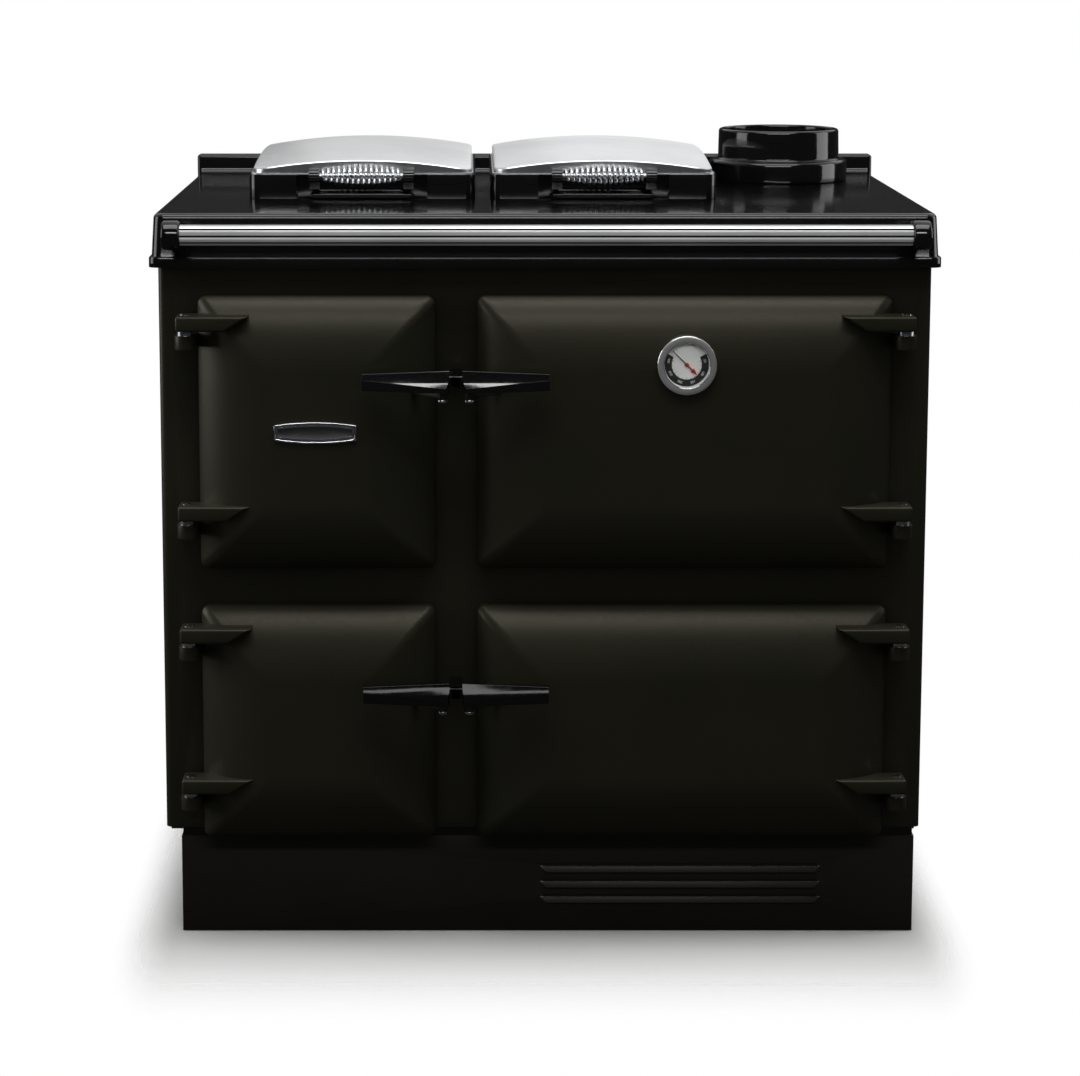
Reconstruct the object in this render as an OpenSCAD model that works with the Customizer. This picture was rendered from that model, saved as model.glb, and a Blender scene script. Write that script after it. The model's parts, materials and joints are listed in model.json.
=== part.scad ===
// Cast iron range cooker with two ovens, two lids and four hinged doors.
// Millimetres. +Z is up, +X is to the cook's right, -Y is towards the cook.
// The origin is on the floor, below the middle of the whole cooker.

/* [Top plate] */
// Width of the top plate across its lip
top_w = 989; // [960:1:1050]
// Depth of the top plate from its lip to its back edge
top_d = 664; // [650:1:700]
// Height of the cooking surface above the floor
hob_h = 939.5; // [930:0.5:960]
// Height of the lip that hangs down the front and sides
lip_h = 67; // [58:1:75]
// Wall of the lip
lip_t = 6; // [4:0.5:6.5]
// Thickness of the top plate
top_t = 12; // [9:1:14]
// Height of the bead along the lip's lower edge
bead_h = 12; // [8:1:16]
// How far the bead stands out of the lip
bead_out = 3.2; // [2:0.2:4]
// Radius of the top plate's front and side edges
top_edge_r = 6; // [3:0.5:8]
// Radius of the top plate's corners, seen from above
top_corner_r = 12; // [8:1:20]
// Height of the upstand along the back edge
upstand_h = 24; // [15:1:30]
// Thickness of the upstand
upstand_t = 24; // [18:1:26]

/* [Body] */
// How far the body's sides stand inside the lip
side_set = 10.5; // [8.5:0.5:14]
// Height of the body's lower edge above the floor
body_z = 148; // [146:1:152]
// Thickness of the cast front plate
front_t = 12; // [9:1:15]
// How far the front plate stands back from the lip
front_set = 15; // [12:1:18]
// Radius of the front plate's vertical edges
front_edge_r = 8; // [4:1:11]
// Thickness of the side and back panels
panel_t = 3; // [2:0.5:4]
// How far the back panel stands inside the top plate's back edge
back_set = 12; // [8:1:16]

/* [Plinth] */
// Height of the plinth panel's top edge
plinth_h = 128.5; // [122:0.5:132]
// How much narrower the plinth is than the body
plinth_less = 20; // [16:1:38]
// How far the plinth sits to the right of the body's centre line
plinth_shift = 7; // [0:1:8]
// How far the plinth stands back from the lip
plinth_set = 40; // [30:1:60]
// Sheet thickness of the plinth panel
plinth_t = 2; // [1.5:0.5:3]
// Gap between the plinth panel and the floor
floor_gap = 1; // [0.5:0.5:4]
// Number of louvres
louvre_n = 3; // [1:1:4]
// Length of a louvre
louvre_l = 363; // [200:1:420]
// Height of a louvre's pressed lip
louvre_h = 8; // [6:0.5:10]
// Distance from one louvre to the next
louvre_pitch = 20.5; // [16:0.5:24]
// Height of the top louvre's upper edge
louvre_z = 88.5; // [80:0.5:100]
// Distance from the body's centre line to the middle of the louvres
louvre_x = 179; // [100:1:200]

/* [Base] */
// Wall of the base frame
base_t = 4; // [3:0.5:6]
// Height of the base frame's lower edge above the floor
base_z = 22; // [18:1:30]
// Radius of a levelling foot
foot_r = 22; // [16:1:28]
// Thickness of a levelling foot's pad
foot_t = 8; // [5:1:12]
// Radius of a levelling foot's stud
stud_r = 5; // [4:0.5:6]

/* [Doors] */
// Distance from the body's side to the hinge edge of every door
door_side = 50.5; // [48:0.5:52]
// Distance from the centre line to the free edge of the left doors
left_free_x = 137.5; // [130:0.5:142]
// Distance from the centre line to the free edge of the right doors
right_free_x = 84.5; // [80:0.5:90]
// Height of the upper doors
upper_door_h = 346.5; // [335:0.5:350]
// Height of the lower doors
lower_door_h = 303; // [295:1:306]
// Height of the lower doors' bottom edge above the floor
lower_door_z = 139.7; // [136:0.1:144]
// Gap between the lower and the upper doors
door_row_gap = 48; // [40:1:50]
// Gap between the doors' backs and the front plate
door_gap = 3; // [2.5:0.5:4]
// Thickness of a door at its edge
door_edge_t = 12; // [9:1:14]
// Rise of a door's dome above its edge
dome_rise = 45; // [35:1:48]
// Distance over which the dome rises from the edge
dome_run = 90; // [80:1:100]
// Radius of the doors' corners
door_corner_r = 10; // [5:1:14]
// Overlap of the doors on the front plate round each opening
door_land = 36; // [33:1:38]
// Depth of the pocket in a door's back
pocket_d = 33; // [20:1:36]
// Distance from a door's edge to its pocket
pocket_set = 50; // [46:1:60]
// Distance from a door's edge to the rope seal
seal_set = 21; // [18:1:23]
// Width of the rope seal
seal_w = 9; // [7:1:10]
// Depth of the seal's groove
groove_d = 5; // [4:0.5:6]
// How far a door liner reaches into its opening
liner_d = 23; // [15:1:30]
// Sheet thickness of a door liner
liner_t = 2.5; // [1.5:0.5:4]
// Clearance round a door liner in its opening
liner_gap = 6; // [5:0.5:8]

/* [Door hinges] */
// Distance from a door's hinge edge to its hinge pins
hinge_side = 13.5; // [12.5:0.5:15]
// Distance from the front plate to the hinge pins
hinge_out = 40; // [39:0.5:43]
// Radius of a hinge pin
hinge_pin_r = 6.35; // [5:0.05:7]
// Height of a hinge arm
arm_h = 15; // [12:1:18]
// Distance from the door's edge plane to the front of an arm
arm_out = 43; // [41:0.5:44]
// Depth of a hinge arm at its pin
arm_d = 35; // [32:1:36]
// Distance from the pin to an arm's outer end
arm_end = 10.5; // [10:0.5:12]
// Distance from the pin to an arm's tip on the door
arm_tip = 78; // [60:1:90]
// Distance from a door's top edge to the middle of its upper arm
arm_from_top = 32; // [28:1:40]
// Distance from a door's bottom edge to the middle of its lower arm
arm_from_bottom = 76; // [60:1:90]
// Width of a hinge lug
lug_w = 26; // [24:1:28]
// Height of a hinge lug
lug_h = 17; // [12:1:20]
// Height of the collar between a lug and its arm
collar_h = 6.2; // [4:0.2:8]
// How far a hinge pin stands above its arm
pin_proud = 5; // [3:0.5:6]

/* [Door handles] */
// Distance from a door's free edge to its handle's pivot
pivot_set = 10; // [9.5:0.5:11]
// Distance from the door's edge plane to the handle's pivot
pivot_out = 61; // [59:1:66]
// Distance from a door's top edge to the middle of its handle
handle_from_top = 98; // [80:1:120]
// Radius of a handle's barrel
barrel_r = 8.5; // [8:0.1:9]
// Height of a handle's barrel
barrel_h = 27.5; // [24:0.5:30]
// Length of a handle from its pivot to its tip
handle_l = 99; // [80:1:110]
// Height of a handle at its tip
tip_h = 22.5; // [18:0.5:26]
// Thickness of a handle's blade
blade_t = 15; // [12:0.5:16]
// Radius of a handle's pin
handle_pin_r = 4; // [3:0.1:4.2]
// Height of the eye that carries a handle's pin
eye_h = 8; // [6:0.5:10]
// Half width of a latch keeper
keeper_half = 8; // [6:0.5:9]
// Height of a latch keeper
keeper_h = 26; // [20:1:30]
// How far a latch keeper stands out of the front plate
keeper_out = 29; // [26:1:32]

/* [Hand rail] */
// Radius of the hand rail
rail_r = 13; // [11:0.5:15]
// Height of the hand rail's axis above the floor
rail_z = 918; // [910:1:925]
// Distance from the lip to the hand rail's axis
rail_out = 45; // [40:1:55]
// Distance from the top plate's end to a rail bracket's outer face
bracket_set = 22.5; // [16:0.5:34]
// Length of a rail bracket along the rail
bracket_l = 23; // [18:1:30]
// Radius of a rail bracket's rounded end
bracket_r = 18; // [16:0.5:19]
// Number of flutes round the rail
flute_n = 14; // [8:1:16]
// Radius of a flute
flute_r = 2.4; // [1.5:0.1:2.5]

/* [Lids] */
// Distance from the top plate's left end to the left lid
lid_side = 110.5; // [105:0.5:120]
// Gap between the right lid and the flue collar
lid_flue_gap = 17; // [12:1:30]
// Depth of a lid
lid_d = 370; // [340:1:375]
// Gap between the two lids
lid_gap = 20; // [16:1:24]
// Distance from the top plate's back edge to the lids' back
lid_back = 85; // [80:1:94]
// Height of a lid's black frame
lid_frame_h = 32; // [28:1:36]
// Wall of a lid's frame
lid_wall = 14; // [10:1:18]
// Radius of a lid's corners
lid_corner_r = 16; // [10:1:24]
// Height of a lid's crest above the cooking surface
lid_crest = 73; // [68:1:78]
// Radius of a lid's crown
crown_r = 770; // [700:10:900]
// Sheet thickness of a lid's dome
dome_t = 2; // [1.5:0.5:3]
// Distance from a lid's back to its hinge axis
lid_hinge_set = 12; // [11:0.5:14]
// Height of the lids' hinge axis above the cooking surface
lid_hinge_z = 20; // [16:1:22]
// Distance from a lid's middle to each of its hinges
lid_hinge_x = 105; // [80:1:120]
// Radius of a lid hinge pin
lid_pin_r = 4; // [3:0.5:5]
// Radius of a lid hinge knuckle
knuckle_r = 9; // [8:0.5:10]
// Width of a lid hinge knuckle
knuckle_w = 20; // [14:1:28]
// Width of one cheek of a lid hinge bracket
cheek_w = 8; // [6:1:12]

/* [Lid handles] */
// Width of the recess for a lid's handle
recess_w = 171; // [165:1:185]
// Depth of the recess for a lid's handle
recess_d = 24; // [20:1:30]
// Length of the wire coil
coil_l = 109; // [100:1:120]
// Number of curls in the coil
coil_n = 15; // [12:1:15]
// Diameter of the coil at its middle
coil_mid_d = 27; // [24:1:30]
// Diameter of the coil at its ends
coil_end_d = 15; // [14:0.5:17]
// Diameter of the coil's wire
wire_d = 3.6; // [3:0.1:4]
// Radius of the rod inside the coil
rod_r = 3.2; // [2.5:0.1:3.4]
// Radius of the ears that hold the rod
ear_r = 9; // [8:0.5:10]
// Width of an ear
ear_w = 14; // [10:1:16]
// Distance that the rod stands in front of the lid
rod_out = 15.5; // [15:0.5:20]

/* [Hotplate] */
// How much shorter the hotplate is than the two lids
hotplate_less_w = 28; // [24:1:54]
// How much shallower the hotplate is than the lids
hotplate_less_d = 50; // [40:1:70]
// Height of the boiling lands above the top plate
land_h = 5; // [2:0.5:7]

/* [Flue collar] */
// Distance from the top plate's right end to the flue's axis
flue_side = 150.5; // [146:0.5:156]
// Distance from the lip to the flue's axis
flue_set = 539; // [530:1:545]
// Radius of the collar's lower part
collar_low_r = 97; // [90:1:99]
// Height of the collar's lower part
collar_low_h = 38; // [30:1:45]
// Radius of the collar's upper ring
collar_up_r = 84.5; // [82:0.5:88]
// Height of the whole collar
collar_all_h = 72; // [60:1:80]
// Radius of the socket for the flue pipe
socket_r = 76.5; // [74:0.5:78]
// Depth of the socket
socket_d = 50; // [40:1:56]
// Radius of the way through below the socket
flue_way_r = 70; // [60:1:72]

/* [Thermometer and name plate] */
// Radius of the thermometer's bezel
bezel_r = 37.5; // [34:0.5:40]
// Radius of the thermometer's window
window_r = 30.5; // [28:0.5:31]
// Distance from the upper right door's top edge to the thermometer
gauge_from_top = 80.5; // [70:0.5:100]
// How far the bezel stands out of the door
bezel_proud = 7; // [5:0.5:9]
// Length of the needle from its pivot to its point
needle_l = 24; // [18:1:26]
// Width of the name plate
plate_w = 102; // [80:1:110]
// Height of the name plate at its middle
plate_h = 27; // [22:1:32]
// Height of the name plate at its ends
plate_end_h = 19; // [15:1:22]
// Thickness of the name plate
plate_t = 3; // [2:0.5:4]
// Height of the name plate's middle above the floor
plate_z = 672; // [660:1:680]

/* [Ovens] */
// Depth of the ovens
oven_d = 430; // [380:5:460]
// Wall of the oven castings
oven_t = 5; // [4:0.5:7]
// How far an oven is wider than its opening in the front plate, all round
oven_over = 4; // [2:0.5:6]
// Height of the main oven's shelf above its floor
main_shelf_z = 120; // [60:5:180]
// Height of the lower oven's shelf above its floor
lower_shelf_z = 80; // [50:5:140]
// Width of a shelf runner
runner_w = 10; // [7:1:14]
// Number of bars in a shelf
shelf_n = 15; // [9:1:19]
// Radius of a shelf's bars
shelf_bar_r = 2.5; // [2:0.5:4]

/* [Firing side] */
// Distance from the body's side to the combustion chamber
chamber_side = 59.5; // [50:0.5:100]
// Depth of the combustion chamber
chamber_d = 362; // [350:2:366]
// Distance from the front plate to the combustion chamber
chamber_set = 250; // [245:1:254]
// Wall of the combustion chamber
chamber_t = 8; // [6:1:12]
// Radius of the burner's blast tube
blast_r = 45; // [35:1:55]
// Radius of the burner's fan casing
fan_r = 75; // [60:1:80]
// Depth of the control tray behind the front plate
tray_d = 80; // [60:1:110]
// Distance from the front plate's back to the control fascia's face
fascia_set = 60; // [50:1:60]
// Radius of a control knob
knob_r = 24; // [18:1:28]
// Length of a control knob
knob_l = 26; // [18:1:30]
// Distance between the two control knobs
knob_gap = 90; // [70:1:110]

/* [Hidden] */
$fn = 72;

// Colours
enamel = "#23221b";
gloss = "#0c0c0d";
bright = "#d4d6d8";
steel = "#9a9ea2";
iron = "#3a3937";

// Clearances
fit = 0.05;      // radial, of a shaft in its bore
rest_gap = 0.3;  // between faces of pieces that move apart
play = 0.5;      // round a piece that is dropped into its place
eps = 0.1;       // by which a cut runs past a face

// Planes from side to side
body_w = top_w - 2 * side_set;
door_edge_x = body_w / 2 - door_side;
hinge_x = door_edge_x + hinge_side;
bracket_x = top_w / 2 - bracket_set;
plinth_w = body_w - plinth_less;
plinth_x0 = plinth_shift - plinth_w / 2;
plinth_x1 = plinth_shift + plinth_w / 2;
flue_x = top_w / 2 - flue_side;

// Planes from front to back
front_reach = pivot_out + barrel_r + blade_t / 2;
lip_y = -(top_d - front_reach) / 2;
back_y = lip_y + top_d;
front_y = lip_y + front_set;
front_back_y = front_y + front_t;
body_back_y = back_y - back_set;
plinth_y = lip_y + plinth_set;
door_back_y = front_y - door_gap;
door_edge_y = door_back_y - door_edge_t;
door_front_y = door_edge_y - dome_rise;
hinge_y = front_y - hinge_out;
pivot_y = door_edge_y - pivot_out;
rail_y = lip_y - rail_out;

// Heights
under_z = hob_h - top_t;
lip_z = hob_h - lip_h;
upper_door_z = lower_door_z + lower_door_h + door_row_gap;

// Dome radius that rises dome_rise over dome_run
dome_r = (dome_run * dome_run + dome_rise * dome_rise) / (2 * dome_rise);

// Doors, each as [free edge, bottom, height]; left doors are mirror images of right-hung ones
UL = [left_free_x, upper_door_z, upper_door_h];
LL = [left_free_x, lower_door_z, lower_door_h];
UR = [-right_free_x, upper_door_z, upper_door_h];
LR = [-right_free_x, lower_door_z, lower_door_h];
function free_x(door) = door[0];
function door_z(door) = door[1];
function door_h(door) = door[2];
function door_top(door) = door_z(door) + door_h(door);
function door_w(door) = door_edge_x - free_x(door);
function arm_zs(door) = [door_z(door) + arm_from_bottom, door_top(door) - arm_from_top];
function handle_z(door) = door_top(door) - handle_from_top;
function pivot_x(door) = free_x(door) - pivot_set;

// The keepers stand in the middle of the gap between the left and the right doors
keeper_x = -(left_free_x + right_free_x) / 2;
function keeper_mid(door) = free_x(door) - (left_free_x - right_free_x) / 2;
nose_gap = 1;                               // between a latch's nose and its keeper
lug_top = arm_h / 2 + rest_gap + collar_h;  // from an arm's middle down to its lug

// Thermometer and name plate
gauge_x = (door_edge_x - right_free_x) / 2;
gauge_z = door_top(UR) - gauge_from_top;
seat_d = 12;                     // depth of the thermometer's seat in the door
seat_y = door_front_y + seat_d;
bezel_y = door_front_y - bezel_proud;
plate_x = -(door_edge_x + left_free_x) / 2;

// Lids
lid_back_y = back_y - lid_back;
lid_y = lid_back_y - lid_d;
lid_z = hob_h + rest_gap;
lids_x0 = -top_w / 2 + lid_side;
lids_x1 = flue_x - collar_low_r - lid_flue_gap;
lids_x = (lids_x0 + lids_x1) / 2;
lid_w = (lids_x1 - lids_x0 - lid_gap) / 2;
lid_xs = [lids_x0 + lid_w / 2, lids_x1 - lid_w / 2];
hotplate_w = lids_x1 - lids_x0 - hotplate_less_w;
hotplate_d = lid_d - hotplate_less_d;
lid_axis_y = lid_back_y + lid_hinge_set;
lid_axis_z = hob_h + lid_hinge_z;
rod_y = lid_y - rod_out;
rod_z = lid_z + lid_frame_h;

// Flue
flue_y = lip_y + flue_set;
duct_set = 13;                   // from the flue duct to the underside of the top plate
duct_top = under_z - duct_set;
spigot_t = 10;                   // wall of the collar where it passes through the top plate
spigot_play = 1;                 // round the collar in the top plate

// Firing side, behind the left doors
chamber_x0 = -body_w / 2 + chamber_side;
chamber_past = 40;               // from the right doors to the combustion chamber
chamber_x1 = -right_free_x - chamber_past;
chamber_w = chamber_x1 - chamber_x0;
chamber_y0 = front_back_y + chamber_set;
fascia_y = front_back_y + fascia_set;
tray_in = 12;                    // from the left doors' edges to the control tray
tray_x0 = -door_edge_x + tray_in;
tray_x1 = -left_free_x - tray_in;

// ---- Plain shapes --------------------------------------------------------

// Rectangle with its lower left corner at the origin and all its corners rounded
module rounded(w, h, r) {
  difference() {
    square([w, h]);
    for (c = [[0, 0, 0], [w, 0, 90], [w, h, 180], [0, h, 270]])
      translate([c[0], c[1]])
        rotate(c[2])
          difference() {
            translate([-eps, -eps]) square(r + eps);
            translate([r, r]) circle(r);
          }
  }
}

// Rounded bar from x0 to x1, y0 to y1 and z0 to z1, its corners rounded as seen from above
module block_up(x0, x1, y0, y1, z0, z1, r) {
  translate([x0, y0, z0]) linear_extrude(z1 - z0) rounded(x1 - x0, y1 - y0, r);
}

// The same with its corners rounded as seen from the front
module block_front(x0, x1, y0, y1, z0, z1, r) {
  translate([x0, y1, z0]) rotate([90, 0, 0]) linear_extrude(y1 - y0) rounded(x1 - x0, z1 - z0, r);
}

module box(x0, x1, y0, y1, z0, z1) {
  translate([x0, y0, z0]) cube([x1 - x0, y1 - y0, z1 - z0]);
}

module rod_x(x0, x1, y, z, r) {
  translate([x0, y, z]) rotate([0, 90, 0]) cylinder(h = x1 - x0, r = r);
}

module rod_y(x, y0, y1, z, r) {
  translate([x, y1, z]) rotate([90, 0, 0]) cylinder(h = y1 - y0, r = r);
}

module rod_z(x, y, z0, z1, r) {
  translate([x, y, z0]) cylinder(h = z1 - z0, r = r);
}

module mirrored() {
  mirror([1, 0, 0]) children();
}

// ---- Base and plinth -----------------------------------------------------

foot_in = 45;                    // from a base corner to its levelling foot
base_x0 = plinth_x0 + plinth_t;
base_x1 = plinth_x1 - plinth_t;
base_y0 = plinth_y + plinth_t;
base_short = 20;                 // from the base frame to the body's back
base_y1 = body_back_y - base_short;
foot_places = [for (x = [base_x0 + foot_in, base_x1 - foot_in])
               for (y = [base_y0 + foot_in, base_y1 - foot_in]) [x, y]];
gusset_t = 6;                    // plate that a foot screws into

base_land = 6;                   // from the base plate's edge to the body's outer face

// Four walls with a plate in each corner for a foot
module base_frame() {
  color(iron)
    difference() {
      box(base_x0, base_x1, base_y0, base_y1, base_z, body_z - base_t);
      difference() {
        box(base_x0 + base_t, base_x1 - base_t, base_y0 + base_t, base_y1 - base_t,
            base_z - eps, body_z);
        for (p = foot_places)
          box(p[0] - foot_in, p[0] + foot_in, p[1] - foot_in, p[1] + foot_in,
              base_z, base_z + gusset_t);
      }
      for (p = foot_places)
        rod_z(p[0], p[1], base_z - eps, base_z + gusset_t + eps, stud_r + play);
    }
}

// Plate that closes the body from below
module base_plate() {
  color(iron)
    box(-body_w / 2 + base_land, body_w / 2 - base_land, front_y + base_land, body_back_y,
        body_z - base_t, body_z);
}

stud_up = 30;                    // of a foot's stud above the base frame's lower edge
nut_h = 6;                       // of the lock nut on a stud
nut_share = 1.8;                 // of the nut's radius to the stud's

module levelling_feet() {
  color(steel)
    for (p = foot_places)
      translate([p[0], p[1], 0]) {
        cylinder(h = foot_t, r = foot_r);
        cylinder(h = base_z + stud_up, r = stud_r);
        translate([0, 0, base_z - nut_h]) cylinder(h = nut_h, r = stud_r * nut_share, $fn = 6);
      }
}

// One louvre: a slot with a pressed lip below it, mitred at both ends
module louvre_lip(z) {
  x0 = louvre_x - louvre_l / 2;
  x1 = louvre_x + louvre_l / 2;
  translate([0, plinth_y, 0])
    rotate([90, 0, 0])
      linear_extrude(louvre_h / 2)
        polygon([[x0, z], [x1, z], [x1 - louvre_h, z - louvre_h], [x0 + louvre_h, z - louvre_h]]);
}

module plinth_panel() {
  color(enamel) {
    difference() {
      union() {
        box(plinth_x0, plinth_x1, plinth_y, base_y1, floor_gap, plinth_h);
        for (i = [0 : louvre_n - 1])
          intersection() {
            louvre_lip(louvre_z - i * louvre_pitch);
            translate([0, plinth_y, louvre_z - i * louvre_pitch - louvre_h])
              rotate([45, 0, 0])
                cube([2 * louvre_x + louvre_l, 2 * louvre_h, 2 * louvre_h], center = true);
          }
      }
      box(plinth_x0 + plinth_t, plinth_x1 - plinth_t, plinth_y + plinth_t, base_y1 + eps,
          floor_gap - eps, plinth_h + eps);
      for (i = [0 : louvre_n - 1])
        translate([louvre_x, plinth_y, louvre_z - i * louvre_pitch])
          cube([louvre_l - louvre_h, 2 * plinth_t + 2 * eps, louvre_h / 3], center = true);
    }
  }
}

// ---- Body ----------------------------------------------------------------

// Openings of the front plate, each as [x0, x1, z0, z1]
function opening(door) = [free_x(door) + door_land, door_edge_x - door_land,
                          door_z(door) + door_land, door_top(door) - door_land];
opening_r = 14;                  // radius of the openings' corners

module front_opening(door) {
  o = opening(door);
  block_front(o[0], o[1], front_y - eps, front_back_y + eps, o[2], o[3], opening_r);
}

module hinge_lug(z) {
  z1 = z - lug_top;
  rod_z(hinge_x, hinge_y, z1 - lug_h, z1, lug_w / 2);
  box(hinge_x - lug_w / 2, hinge_x + lug_w / 2, hinge_y, front_y, z1 - lug_h, z1);
}

module lug_bore(z) {
  rod_z(hinge_x, hinge_y, z - lug_top - lug_h - eps, z - lug_top + eps, hinge_pin_r + fit);
}

module front_plate() {
  color(enamel) {
    difference() {
      union() {
        intersection() {
          box(-body_w / 2, body_w / 2, front_y, front_back_y, body_z, under_z);
          translate([-body_w / 2, front_y, body_z - eps])
            linear_extrude(under_z)
              rounded(body_w, 3 * front_t, front_edge_r);
        }
        for (door = [UR, LR], z = arm_zs(door))
          hinge_lug(z);
        mirrored()
          for (door = [UL, LL], z = arm_zs(door))
            hinge_lug(z);
      }
      for (door = [UR, LR]) {
        front_opening(door);
        for (z = arm_zs(door))
          lug_bore(z);
      }
      mirrored()
        for (door = [UL, LL]) {
          front_opening(door);
          for (z = arm_zs(door))
            lug_bore(z);
        }
    }
  }
}

module side_panel() {
  box(body_w / 2 - panel_t, body_w / 2, front_back_y, body_back_y, body_z, under_z);
}

module right_side_panel() {
  color(enamel) side_panel();
}

module left_side_panel() {
  color(enamel) mirrored() side_panel();
}

screw_r = 2.5;                   // shank of a panel screw
screw_head_r = 5;
screw_head_h = 2.5;
screw_in = 30;                   // from the back panel's edge to its screws
screw_rows = 4;
screw_pitch = (under_z - body_z - 2 * screw_in) / (screw_rows - 1);
screw_places = [for (x = [-1, 1], i = [0 : screw_rows - 1])
  [x * (body_w / 2 - screw_in), body_z + screw_in + i * screw_pitch]];

module back_panel() {
  color(steel)
    difference() {
      box(-body_w / 2 + panel_t, body_w / 2 - panel_t, body_back_y - panel_t, body_back_y,
          body_z, under_z);
      for (p = screw_places)
        rod_y(p[0], body_back_y - panel_t - eps, body_back_y + eps, p[1], screw_r + fit);
    }
}

module cover_screws() {
  color(steel)
    for (p = screw_places) {
      rod_y(p[0], body_back_y - panel_t, body_back_y + eps, p[1], screw_r);
      rod_y(p[0], body_back_y, body_back_y + screw_head_h, p[1], screw_head_r);
    }
}

// ---- Top -----------------------------------------------------------------

// Outline of the top plate's upper block, whose upper edges are rounded
module top_block() {
  x0 = -top_w / 2 + bead_out;
  w = top_w - 2 * bead_out;
  y0 = lip_y + bead_out;
  d = top_d - bead_out;
  h = hob_h - lip_z;
  intersection() {
    translate([x0, y0, lip_z]) linear_extrude(h) rounded(w, d + top_corner_r, top_corner_r);
    translate([x0, back_y, lip_z - h])
      rotate([90, 0, 0])
        linear_extrude(d)
          rounded(w, 2 * h, top_edge_r);
    translate([x0, y0, lip_z - h])
      rotate([90, 0, 90])
        linear_extrude(w)
          rounded(2 * d, 2 * h, top_edge_r);
  }
}

module hotplate_opening(gap) {
  block_up(lids_x - hotplate_w / 2 - gap, lids_x + hotplate_w / 2 + gap,
           lid_y + (lid_d - hotplate_d) / 2 - gap, lid_y + (lid_d + hotplate_d) / 2 + gap,
           under_z - eps, hob_h + eps, lid_corner_r);
}

module top_plate() {
  color(gloss) {
    difference() {
      union() {
        top_block();
        intersection() {
          block_up(-top_w / 2, top_w / 2, lip_y, back_y + top_corner_r,
                   lip_z, lip_z + bead_h, top_corner_r);
          box(-top_w, top_w, lip_y - eps, back_y, lip_z, lip_z + bead_h);
        }
        difference() {
          translate([-top_w / 2 + bead_out, back_y, hob_h - upstand_h])
            rotate([90, 0, 0])
              linear_extrude(upstand_t)
                rounded(top_w - 2 * bead_out, 2 * upstand_h, top_edge_r);
          rod_z(flue_x, flue_y, hob_h, hob_h + upstand_h + eps, collar_low_r + play);
        }
      }
      box(-top_w / 2 + bead_out + lip_t, top_w / 2 - bead_out - lip_t,
          lip_y + bead_out + lip_t, back_y - back_set / 2, lip_z - eps, under_z);
      hotplate_opening(play);
      rod_z(flue_x, flue_y, under_z - eps, hob_h + eps, flue_way_r + spigot_t + spigot_play);
    }
  }
}

module hotplate() {
  y0 = lid_y + (lid_d - hotplate_d) / 2;
  flange = 12;                   // by which the hotplate runs under the top plate
  flange_h = 8;
  land_side = 7;                 // between a land and the lid's frame
  land_r = 20;
  land_w = lid_w - 2 * lid_wall - 2 * land_side;
  land_y0 = lid_y + recess_d + lid_wall + land_side;
  land_y1 = y0 + hotplate_d - land_side;
  color(iron) {
    intersection() {
      hotplate_opening(0);
      box(-top_w, top_w, lip_y, back_y, under_z - eps, hob_h);
    }
    block_up(lids_x - hotplate_w / 2 - flange, lids_x + hotplate_w / 2 + flange,
             y0 - flange, y0 + hotplate_d + flange, under_z - flange_h, under_z, lid_corner_r);
    for (x = lid_xs)
      block_up(x - land_w / 2, x + land_w / 2, land_y0, land_y1, hob_h - 1, hob_h + land_h, land_r);
  }
}

collar_edge_r = 8;               // rounding of the collar's shoulder
rim_edge_r = 4;                  // rounding of the collar's rim
spigot_l = 20;                   // length of the collar below the cooking surface

// Half section of a step of the collar, its outer upper edge rounded
module step_half(r, h, edge_r) {
  translate([flue_way_r, 0]) square([r - flue_way_r, h - edge_r]);
  translate([flue_way_r, 0]) square([r - flue_way_r - edge_r, h]);
  translate([r - edge_r, h - edge_r]) circle(edge_r);
}

module flue_collar() {
  color(gloss)
    translate([flue_x, flue_y, hob_h])
      rotate_extrude($fn = 120)
        difference() {
          union() {
            translate([flue_way_r, -spigot_l]) square([spigot_t, spigot_l + eps]);
            step_half(collar_low_r, collar_low_h, collar_edge_r);
            step_half(collar_up_r, collar_all_h, rim_edge_r);
          }
          translate([0, collar_all_h - socket_d]) square([socket_r, socket_d + eps]);
        }
}

// ---- Flue, firing side and insulation ------------------------------------

duct_x1 = flue_x + collar_low_r;
duct_y0 = flue_y - collar_low_r;
duct_y1 = flue_y + collar_low_r;
duct_h = 75;                     // height of the duct between the chamber and the flue
duct_z = duct_top - duct_h;

neck_land = 4;                   // by which the duct's neck stands round the collar's spigot

module flue_duct() {
  neck_r = flue_way_r + spigot_t + neck_land;
  color(iron)
    difference() {
      union() {
        box(chamber_x1, duct_x1, duct_y0, duct_y1, duct_z, duct_top);
        rod_z(flue_x, flue_y, duct_top - eps, under_z, neck_r);
      }
      box(chamber_x1 - eps, duct_x1 - oven_t, duct_y0 + oven_t, duct_y1 - oven_t,
          duct_z + oven_t, duct_top - oven_t);
      rod_z(flue_x, flue_y, duct_top - 2 * oven_t, under_z + eps, flue_way_r + spigot_t + spigot_play);
    }
}

module combustion_chamber() {
  x0 = chamber_x1 - chamber_w;
  y1 = chamber_y0 + chamber_d;
  color(iron)
    difference() {
      box(x0, chamber_x1, chamber_y0, y1, body_z, duct_top);
      box(x0 + chamber_t, chamber_x1 - chamber_t, chamber_y0 + chamber_t, y1 - chamber_t,
          body_z + chamber_t, duct_top - chamber_t);
      box(chamber_x1 - 2 * chamber_t, chamber_x1 + eps, duct_y0 + oven_t, duct_y1 - oven_t,
          duct_z + oven_t, duct_top - chamber_t);
      rod_y(burner_x, chamber_y0 - eps, chamber_y0 + 2 * chamber_t, burner_z, blast_r + play);
    }
}

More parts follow.
